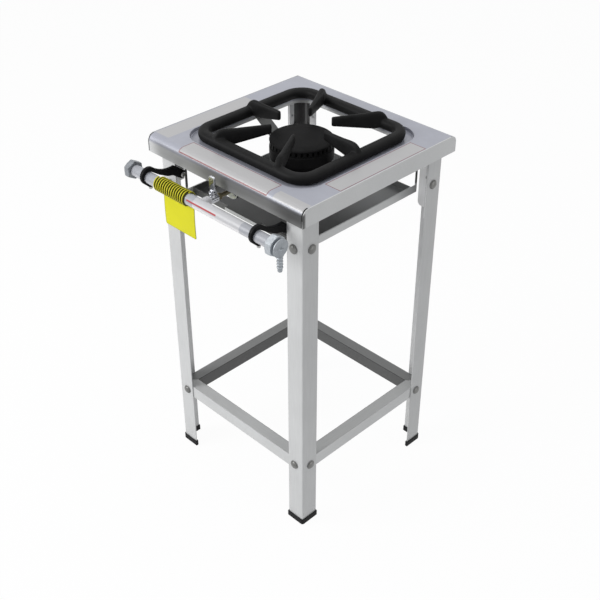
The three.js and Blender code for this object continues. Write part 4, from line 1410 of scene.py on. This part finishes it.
@dataclass
class BurnerUnit:
    """Burner cap with its ports, cup and bowl, strap, mixing tube, shutter and injector."""

    radius: float = 60.0
    top: float = 731.0
    ring_height: float = 10.0
    wall: float = 5.0
    crown: float = 4.9
    ports: int = 36
    port_columns: int = 10
    port_flank: float = 3.0
    port_width: float = 3.0
    port_depth: float = 5.0
    port_low: float = 1.2
    port_high: float = 1.3
    port_soft: float = 0.8
    cup_bottom: float = 694.0
    bowl_bottom: float = 672.0
    bowl_radius: float = 46.0
    tube_z: float = 691.5
    boss_radius: float = 17.0
    boss_front: float = -58.0
    boss_root: float = 14.0
    body_voxel: float = 1.2
    tube_edge: float = 0.8
    strap_edge: float = 0.4
    bolt_edge: float = 0.4
    shutter_edge: float = 0.3
    injector_edge: float = 0.35

    def cap(self) -> Shape:
        """The cap: a domed profile turned round the axis, drawn in by the port depth where a port lies.

        Returns:
            The shape.
        """
        seat = self.top - self.ring_height + GAP
        crown = self.top + self.crown
        r = self.radius
        inner = [
            (0.0, self.top - 3.0), (r - 12.0, self.top - 3.0), (r - 10.5, seat - 5.9), (r - 5.4, seat - 5.9),
            (r - 5.4, seat), (r - 1.4, seat), (r - 1.0, seat + 0.4),
        ]
        profile = np.concatenate([
            np.array(inner),
            np.stack([np.full(12, r - 1.0), np.linspace(seat + 1.0, self.top - 1.2, 12)], 1),
            rounded([
                (r - 1.0, self.top - 0.9), (r, self.top), (r - 0.6, self.top + 2.0),
                (r - 4.0, self.top + 3.1), (r - 18.0, crown - 0.5), (14.0, crown), (0.0, crown),
            ], 1.6, 4),
        ])
        columns = self.ports * self.port_columns
        turn = np.arange(columns) / columns * TURN
        off = (turn * self.ports / TURN) % 1.0 - 0.5
        half = self.port_width / 2 / (r * TURN / self.ports)
        in_port = np.clip((half - np.abs(off)) / half * self.port_flank + 1.0, 0, 1)
        z = profile[:, 1]
        over = np.clip((z - seat - self.port_low) / self.port_soft, 0, 1)
        under = np.clip((self.top - self.port_high - z) / self.port_soft, 0, 1)
        band = over * under * (profile[:, 0] > r - 2.0)
        radius = profile[:, :1] - self.port_depth * band[:, None] * in_port[None, :]
        along = np.repeat(profile[:, 1:2], columns, axis=1)
        return grid(Axis.Z.place(radius * np.cos(turn), radius * np.sin(turn), along))

    def bowl(self) -> Shape:
        """The cup over its bowl, turned round the axis, and the boss that takes the mixing tube.

        Returns:
            The shape.
        """
        rim = self.top - self.ring_height
        r, b, low = self.radius, self.bowl_radius, self.bowl_bottom
        cup = rounded([
            (0.0, low), (b - 7.0, low), (b, low + 8.0), (b, self.cup_bottom - 3.0),
            (r - 4.0, self.cup_bottom), (r, self.cup_bottom + 4.0), (r, rim), (r - self.wall, rim),
            (r - self.wall, self.cup_bottom + self.wall), (0.0, self.cup_bottom + 4.0),
        ], 2.5, 4)
        root = self.boss_root - b
        boss = rounded([
            (0.0, self.boss_front), (self.boss_radius, self.boss_front),
            (self.boss_radius, root), (0.0, root),
        ], 1.0, 3)
        turned_cup = revolved(cup, Axis.Z, (0.0, 0.0, 0.0), 96)
        return turned_cup + revolved(boss, Axis.Y, (0.0, 0.0, self.tube_z), 48)

    def build(self) -> None:
        """Builds the burner and dresses it."""
        iron = CastIron("burner_iron", (0.0055, 0.0055, 0.0057), 0.05).material()
        cap = meshed("burner_cap_ported", self.cap(), 32.0)
        settle(cap, "burner_cap", ["burner_cap"], iron)
        body = cast("burner_body_cast", self.bowl(), self.body_voxel, 3)
        settle(body, "stand", ["burner_body"], iron)
        settle(refined("mixing_tube", self.tube_edge), "stand", ["mixing_tube"], iron)
        # The strap's steel is painted dark: painted shade under the grate and the burner.
        steel = SheetSteel("strap_shaded_steel", Axis.X, (0.10, 0.101, 0.10)).material()
        settle(refined("burner_strap", self.strap_edge), "stand", ["burner_strap"], steel)
        bolt = Plated("burner_bolt_steel", (0.36, 0.36, 0.35), 0.36, 0.85, Axis.Z).material()
        settle(refined("burner_bolt", self.bolt_edge), "stand", ["burner_bolt"], bolt)
        zinc = Plated("shutter_zinc", (0.46, 0.48, 0.50), 0.36, 0.85, Axis.Y).material()
        shutter = refined("air_shutter", self.shutter_edge)
        settle(shutter, "air_shutter", ["air_shutter"], zinc)
        brass = Plated("injector_brass", (0.20, 0.175, 0.11), 0.38, 0.85, Axis.Y).material()
        settle(refined("injector", self.injector_edge), "stand", ["injector"], brass)


@dataclass
class ValveUnit:
    """Valve body, bonnet nut and flat handle."""

    flats: float = 13.0
    corner_share: float = 0.5785
    worn_share: float = 0.86
    turned_share: float = 0.955
    turned_length: float = 0.45
    spindle_bore: float = 3.3
    nut_chamfer: float = 1.6
    body_edge: float = 0.5
    handle_edge: float = 0.8

    def nut(self, node: str, axis: Axis, flats: float, bore: float, chamfer: float) -> Shape:
        """A hexagon nut on a CAD node: the lesser of a chamfer cone and a hexagon, round a bore.

        Args:
            node: The node.
            axis: Its axis.
            flats: Distance between its flats.
            bore: Radius of its hole, or 0 for a closed face.
            chamfer: Length of the chamfer at each end.

        Returns:
            The shape.
        """
        low, high = node_box(node)
        centre = (low + high) / 2
        half, wide = (high - low)[axis.index] / 2, flats * self.corner_share
        worn, turned, middle = wide * self.worn_share, wide * self.turned_share, chamfer * self.turned_length
        profile = np.array([
            (bore, -half), (worn, -half), (turned, -half + middle), (wide, -half + chamfer),
            (wide, half - chamfer), (turned, half - middle), (worn, half), (bore, half),
        ])
        return revolved(profile, axis, tuple(centre), 96, flats, loop=bore > 0)

    def build(self) -> None:
        """Builds the valve and dresses it."""
        chrome = Plated("valve_chrome", (0.50, 0.51, 0.54), 0.20, 0.95, Axis.Y).material()
        settle(refined("valve_body", self.body_edge), "stand", ["valve_body"], chrome)
        nut = self.nut("valve_bonnet_nut", Axis.Z, self.flats, self.spindle_bore, self.nut_chamfer)
        piece = meshed("valve_bonnet_nut_turned", nut, 30.0)
        settle(piece, "stand", ["valve_bonnet_nut"], chrome)
        grip = Plated("handle_chrome", (0.50, 0.51, 0.54), 0.18, 0.95, Axis.Z).material()
        handle = refined("valve_handle", self.handle_edge, segments=3)
        settle(handle, "valve_handle", ["valve_handle"], grip)


@dataclass
class PipeUnit:
    """Gas pipe, its plug, union nut and elbow, and the hooks that carry it."""

    y: float = -246.0
    z: float = 691.5
    radius: float = 10.7
    bore: float = 8.5
    left: float = -178.7
    right: float = 184.5
    boss_radius: float = 9.0
    boss_end: float = -226.0
    plug_flats: float = 31.0
    union_flats: float = 34.0
    nut_chamfer: float = 2.6
    hook_edge: float = 1.1
    bolt_edge: float = 0.3
    elbow_voxel: float = 0.4
    elbow_x: tuple[float, float] = (191.55, 199.05)
    elbow_radius: float = 16.6
    stem_inset: float = 4.3
    stem: tuple[float, float] = (7.0, 14.0)
    barb: tuple[float, float] = (5.7, 4.2)
    barb_drop: float = 17.0
    ribs: int = 4
    rib_pitch: float = 5.55
    tip: float = 6.0

    def pipe(self) -> Shape:
        """The tube, a ring profile turned round x, and the boss for the valve, turned round y.

        Returns:
            The shape.
        """
        tube = rounded([
            (self.bore, self.left), (self.radius, self.left),
            (self.radius, self.right), (self.bore, self.right),
        ], 0.8, 3, loop=True)
        boss = rounded([
            (0.0, self.y + 9.3), (self.boss_radius, self.y + 5.8), (self.boss_radius, self.boss_end),
            (0.0, self.boss_end),
        ], 0.7, 3)
        turned_tube = revolved(tube, Axis.X, (0.0, self.y, self.z), 64, loop=True)
        return turned_tube + revolved(boss, Axis.Y, (0.0, 0.0, self.z), 48)

    def elbow(self) -> Shape:
        """The elbow's coned head and spigot, turned round x, and the ribbed tail, turned round z.

        Each rib's radius is core + (crest - core)(1 - t)^1.3, with t from 0 at its upper edge to 1 at its
        lower one. Where the tail's stem would pass behind the head, towards the union nut, it is flattened.

        Returns:
            The shape.
        """
        x0, x1 = self.elbow_x
        r = self.elbow_radius
        head = rounded([(0.0, x0), (self.radius, x0), (r, x1 - 2.2), (r, x1), (0.0, x1)], 1.0, 4)
        root = x0 + 2.0
        seat = self.right + GAP
        spigot = np.array([(0.0, seat), (self.radius, seat), (self.radius, root), (0.0, root)])
        crest, core = self.barb
        stem, drop = self.stem
        t = np.linspace(0, 1, 12)
        saw = core + (crest - core) * (1 - t) ** 1.3
        steps = np.arange(self.ribs)[:, None]
        along = -self.barb_drop - 2.4 - steps * self.rib_pitch - t[None, :] * (self.rib_pitch - 1.0)
        teeth = np.stack([np.tile(saw, (self.ribs, 1)), along], axis=-1).reshape(-1, 2)
        end = -self.barb_drop - self.ribs * self.rib_pitch - self.tip
        tail = np.concatenate([
            rounded([(0.0, 0.0), (stem, 0.0), (stem, -drop), (core, -self.barb_drop)], 2.0, 4),
            teeth,
            np.array([(core, end + 1.6), (core - 0.5, end + 0.4), (core - 1.0, end), (0.0, end)]),
        ])
        centre = (x0 + self.stem_inset, self.y, self.z)
        below = revolved(tail, Axis.Z, centre, 48)
        past = (below.points[:, 0] < x0) & (below.points[:, 2] > self.z - self.union_flats / 2 - 1.0)
        below.points[past, 0] = x0
        middle = (0.0, self.y, self.z)
        return revolved(head, Axis.X, middle, 64) + revolved(spigot, Axis.X, middle, 64) + below

    def plug(self) -> Shape:
        """The hexagon plug: a nut without a bore, drawn out to the pipe's end, and a spigot in the pipe.

        Returns:
            The shape.
        """
        low, high = node_box("hex_plug")
        head, bore = self.left - GAP, self.bore - GAP
        nut = ValveUnit().nut("hex_plug", Axis.X, self.plug_flats, 0.0, self.nut_chamfer)
        share = (head - low[0]) / (high[0] - low[0])
        nut.points[:, 0] = low[0] + (nut.points[:, 0] - low[0]) * share
        spigot = np.array([(0.0, head - 1.0), (bore, head - 1.0), (bore, high[0]), (0.0, high[0])])
        return nut + revolved(spigot, Axis.X, (0.0, self.y, self.z), 48)

    def fittings(self) -> None:
        """The pipe with its plug, union nut and elbow."""
        paint = PaintedPipe("pipe_paint").material()
        settle(meshed("gas_pipe_drawn", self.pipe()), "stand", ["gas_pipe"], paint)
        zinc = Plated("fitting_zinc", (0.47, 0.50, 0.53), 0.40, 0.6).material()
        dull = Plated("plug_zinc", (0.25, 0.265, 0.285), 0.40, 0.6).material()
        settle(meshed("hex_plug_turned", self.plug(), 28.0), "stand", ["hex_plug"], dull)
        bore = self.radius + GAP
        nut = ValveUnit().nut("union_nut", Axis.X, self.union_flats, bore, self.nut_chamfer)
        settle(meshed("union_nut_turned", nut, 28.0), "stand", ["union_nut"], zinc)
        tail = Plated("tail_zinc", (0.34, 0.365, 0.39), 0.42, 0.6, Axis.Z).material()
        elbow = cast("hose_elbow_turned", self.elbow(), self.elbow_voxel, 2)
        settle(elbow, "stand", ["hose_elbow"], tail)

    def hooks(self) -> None:
        """The two hooks with their screws and bolts."""
        black = Moulded("hook_black", (0.007, 0.007, 0.0075), 0.42, 600.0, 0.08, 0.07).material()
        bright = Plated("hook_bolt_steel", (0.45, 0.45, 0.44), 0.34, 0.85).material()
        for side in Side:
            hook, screw, bolt = (f"pipe_hook{part}_{side.word}" for part in ("", "_screw", "_bolt"))
            settle(refined(hook, self.hook_edge, segments=3), "stand", [hook], black)
            settle(refined(screw, self.bolt_edge), "stand", [screw], bright)
            settle(refined(bolt, self.bolt_edge), "stand", [bolt], bright)

    def build(self) -> None:
        """Builds the pipe with its fittings and hooks and dresses them."""
        self.fittings()
        self.hooks()


@dataclass
class SleeveAndTag:
    """Strand wound round the pipe, a dark tube under it that is painted shade between the turns, and the card
    that hangs from it.
    """

    pipe_y: float = -246.0
    pipe_z: float = 691.5
    turns: int = 14
    pitch: float = 5.9
    wire: float = 1.5
    helix: float = 12.8
    middle: float = -69.0
    # radii of the dark tube that is painted shade between the turns
    lining: tuple[float, float] = (10.85, 11.2)
    per_turn: int = 40
    tag_x: tuple[float, float] = (-99.0, -16.0)
    tag_z: tuple[float, float] = (614.9, 676.9)
    tag_sheet: float = 0.9
    tag_bow: float = 1.5
    tag_corner: float = 2.0
    tag_steps: int = 33

    @property
    def start(self) -> float:
        """Where the first turn begins, in x."""
        return self.middle - self.turns * self.pitch / 2

    def winding(self) -> Shape:
        """The strand along x = start + pitch t, with y and z on a circle at turn t + 1/4.

        Returns:
            The shape.
        """
        t = np.linspace(0, self.turns, self.turns * self.per_turn + 1)
        turn = (t + 0.25) * TURN
        out = np.stack([np.zeros_like(t), np.cos(turn), np.sin(turn)], axis=1)
        y, z = np.full_like(t, self.pipe_y), np.full_like(t, self.pipe_z)
        middle = np.stack([self.start + t * self.pitch, y, z], axis=1)
        return strand(middle + self.helix * out, out, self.wire, 14)

    def shade_tube(self) -> Shape:
        """A thin dark tube between the pipe and the strand, painted shade seen between the turns: a ring
        profile turned round x.

        Returns:
            The shape.
        """
        x0, x1 = self.start + 1.0, self.start + self.turns * self.pitch - 1.0
        inner, outer = self.lining
        ring = np.array([(inner, x0), (outer, x0), (outer, x1), (inner, x1)])
        return revolved(ring, Axis.X, (0.0, self.pipe_y, self.pipe_z), 48, loop=True)

    def card(self) -> Shape:
        """The card: x across it and z down it, bowed in y by 2 bow t (1 - t), with rounded corners.

        Returns:
            The shape.
        """
        u = np.linspace(-1, 1, self.tag_steps)
        t = np.linspace(0, 1, self.tag_steps)
        radius = self.tag_corner
        width, height = self.tag_x[1] - self.tag_x[0], self.tag_z[1] - self.tag_z[0]
        from_end = np.minimum(t, 1 - t) * height
        inset = radius - np.sqrt(np.clip(radius**2 - (radius - from_end).clip(0, radius) ** 2, 0, None))
        x = sum(self.tag_x) / 2 + u[None, :] * (width / 2 - inset[:, None])
        z = np.repeat((self.tag_z[1] - t * height)[:, None], self.tag_steps, axis=1)
        front = self.pipe_y + (self.tag_bow - self.tag_sheet) / 3 + self.tag_sheet / 2
        bow = 2 * t * (1 - t) * self.tag_bow
        y = np.repeat((front - bow)[:, None], self.tag_steps, axis=1)
        faces = np.concatenate([
            np.stack([x, y, z], axis=-1), np.stack([x, y - self.tag_sheet, z], axis=-1)[:, ::-1],
        ], axis=1)
        return grid(folded_shut(faces))

    def build(self) -> None:
        """Builds the winding, the painted-shade tube under it and the card and dresses them."""
        wound = WoundPlastic("wound_plastic", self.start, self.pitch, self.pipe_y, self.pipe_z).material()
        winding = meshed("wound_sleeve_strand", self.winding(), 60.0)
        settle(winding, "stand", ["wound_sleeve"], wound)
        # The dark tube under the strand is painted shade between the turns.
        dark = Moulded("sleeve_painted_shade", (0.05, 0.048, 0.012), 0.5).material()
        settle(meshed("wound_sleeve_shade_tube", self.shade_tube()), "stand", [], dark)
        yellow = Card("tag_card", self.tag_x, self.tag_z).material()
        card = meshed("hanging_tag_card", self.card(), 30.0)
        settle(card, "hanging_tag", ["hanging_tag"], yellow)


# --------------------------------------------------------------------------------------------------- studio


@dataclass(frozen=True)
class Lamp:
    """A square area lamp: its place and target in metres from the stand's foot, its side and its watts."""

    name: str
    place: Point
    target: Point
    size: float
    power: float


@dataclass
class Studio:
    """Camera, lamps, world and floor."""

    lamps: tuple[Lamp, ...] = (
        Lamp("key", (-1.5, -2.6, 2.3), (0.0, 0.0, 0.5), 1.8, 88.0),
        Lamp("overhead", (0.2, 0.2, 2.9), (0.0, 0.0, 0.6), 2.2, 20.0),
        Lamp("fill", (2.7, 0.0, 1.4), (0.0, 0.0, 0.5), 1.8, 6.5),
    )
    aim: Point = (0.0, -5.03, 375.2)
    azimuth: float = 45.0805
    elevation: float = 34.8571
    distance: float = 2063.4
    roll: float = -0.047
    lens: float = 61.327
    sensor: float = 36.0
    floor_half: float = 9.0
    floor_glow: float = 0.96
    floor_colour: Colour = (0.86, 0.86, 0.87)
    floor_roughness: float = 0.9
    ambient: float = 0.34
    ambient_colour: Colour = (0.96, 0.98, 1.0)

    def camera(self) -> None:
        """The camera: on a sphere about its aim, at the photograph's azimuth and elevation."""
        data = bpy.data.cameras.new("camera")
        data.lens = self.lens
        data.sensor_width = self.sensor
        data.clip_end = 100.0
        piece = bpy.data.objects.new("camera", data)
        bpy.context.scene.collection.objects.link(piece)
        a, e = math.radians(self.azimuth), math.radians(self.elevation)
        away = np.array([math.sin(a) * math.cos(e), -math.cos(a) * math.cos(e), math.sin(e)])
        piece.location = (np.array(self.aim) + self.distance * away) * MM + AXIS_FOOT
        roll = Matrix.Rotation(math.radians(self.roll), 3, "Z")
        turn = Matrix.Rotation(a, 3, "Z") @ Matrix.Rotation(TURN / 4 - e, 3, "X") @ roll
        piece.rotation_euler = turn.to_euler()
        bpy.context.scene.camera = piece

    def light(self, lamp: Lamp) -> None:
        """Puts up a lamp and points it at its target.

        Args:
            lamp: The lamp.
        """
        data = bpy.data.lights.new(lamp.name, "AREA")
        data.size = lamp.size
        data.energy = lamp.power
        piece = bpy.data.objects.new(lamp.name, data)
        bpy.context.scene.collection.objects.link(piece)
        piece.location = np.array(lamp.place) + AXIS_FOOT
        toward = np.array(lamp.target) - np.array(lamp.place)
        dip = math.atan2(-toward[2], math.hypot(toward[0], toward[1]))
        piece.rotation_euler = (TURN / 4 - dip, 0.0, math.atan2(-toward[0], toward[1]))

    def world(self) -> None:
        """Soft grey light from all round; white where it is seen directly, mirrored or through glass."""
        world = bpy.data.worlds.new("studio")
        bpy.context.scene.world = world
        world.use_nodes = True
        tree = world.node_tree
        tree.nodes.clear()
        path = tree.nodes.new("ShaderNodeLightPath")
        seen = self.seen(tree, path)
        soft, white = tree.nodes.new("ShaderNodeBackground"), tree.nodes.new("ShaderNodeBackground")
        soft.inputs["Color"].default_value = (*self.ambient_colour, 1.0)
        soft.inputs["Strength"].default_value = self.ambient
        white.inputs["Color"].default_value = (1.0, 1.0, 1.0, 1.0)
        mix, out = tree.nodes.new("ShaderNodeMixShader"), tree.nodes.new("ShaderNodeOutputWorld")
        tree.links.new(seen, mix.inputs[0])
        tree.links.new(soft.outputs[0], mix.inputs[1])
        tree.links.new(white.outputs[0], mix.inputs[2])
        tree.links.new(mix.outputs[0], out.inputs[0])

    def seen(self, tree: bpy.types.NodeTree, path: bpy.types.Node) -> bpy.types.NodeSocket:
        """1 on a camera, glossy or transmission ray, and 0 on any other.

        Args:
            tree: The node tree.
            path: Its Light Path node.

        Returns:
            The socket that has the value.
        """
        first, second = tree.nodes.new("ShaderNodeMath"), tree.nodes.new("ShaderNodeMath")
        first.operation = second.operation = "MAXIMUM"
        tree.links.new(path.outputs["Is Camera Ray"], first.inputs[0])
        tree.links.new(path.outputs["Is Glossy Ray"], first.inputs[1])
        tree.links.new(first.outputs[0], second.inputs[0])
        tree.links.new(path.outputs["Is Transmission Ray"], second.inputs[1])
        return second.outputs[0]

    def floor(self) -> None:
        """A pale floor that shows white and keeps a faint shadow."""
        half = self.floor_half
        near, far = [[-half, -half, 0.0], [half, -half, 0.0]], [[-half, half, 0.0], [half, half, 0.0]]
        flat = np.array([near, far]) / MM
        mesh = bpy.data.meshes.new("floor")
        shape = grid(flat, loop_columns=False)
        mesh.from_pydata((shape.points * MM + AXIS_FOOT).tolist(), [], shape.faces.tolist())
        piece = linked("floor", mesh)
        material = bpy.data.materials.new("pale_floor")
        material.use_nodes = True
        tree = material.node_tree
        surface = next(n for n in tree.nodes if n.type == "BSDF_PRINCIPLED")
        out = next(n for n in tree.nodes if n.type == "OUTPUT_MATERIAL")
        surface.inputs["Base Color"].default_value = (*self.floor_colour, 1.0)
        surface.inputs["Roughness"].default_value = self.floor_roughness
        surface.inputs["Specular IOR Level"].default_value = 0.0
        glow, mix = tree.nodes.new("ShaderNodeEmission"), tree.nodes.new("ShaderNodeMixShader")
        share, path = tree.nodes.new("ShaderNodeMath"), tree.nodes.new("ShaderNodeLightPath")
        share.operation = "MULTIPLY"
        share.inputs[1].default_value = self.floor_glow
        tree.links.new(self.seen(tree, path), share.inputs[0])
        tree.links.new(share.outputs[0], mix.inputs[0])
        tree.links.new(surface.outputs[0], mix.inputs[1])
        tree.links.new(glow.outputs[0], mix.inputs[2])
        tree.links.new(mix.outputs[0], out.inputs[0])
        mesh.materials.append(material)

    def build(self) -> None:
        """Sets up the whole studio."""
        self.camera()
        for lamp in self.lamps:
            self.light(lamp)
        self.world()
        self.floor()
        bpy.context.scene.view_settings.view_transform = "Standard"


def main() -> None:
    """Builds the studio and every sub-assembly."""
    logging.basicConfig(level=logging.INFO, format="%(name)s: %(message)s")
    Studio().build()
    for unit in (
        FoldedTop(), LegFrame(), DripTrayUnit(), GrateUnit(),
        BurnerUnit(), ValveUnit(), PipeUnit(), SleeveAndTag(),
    ):
        LOG.info("building %s", type(unit).__name__)
        unit.build()


if __name__ == "__main__":
    main()
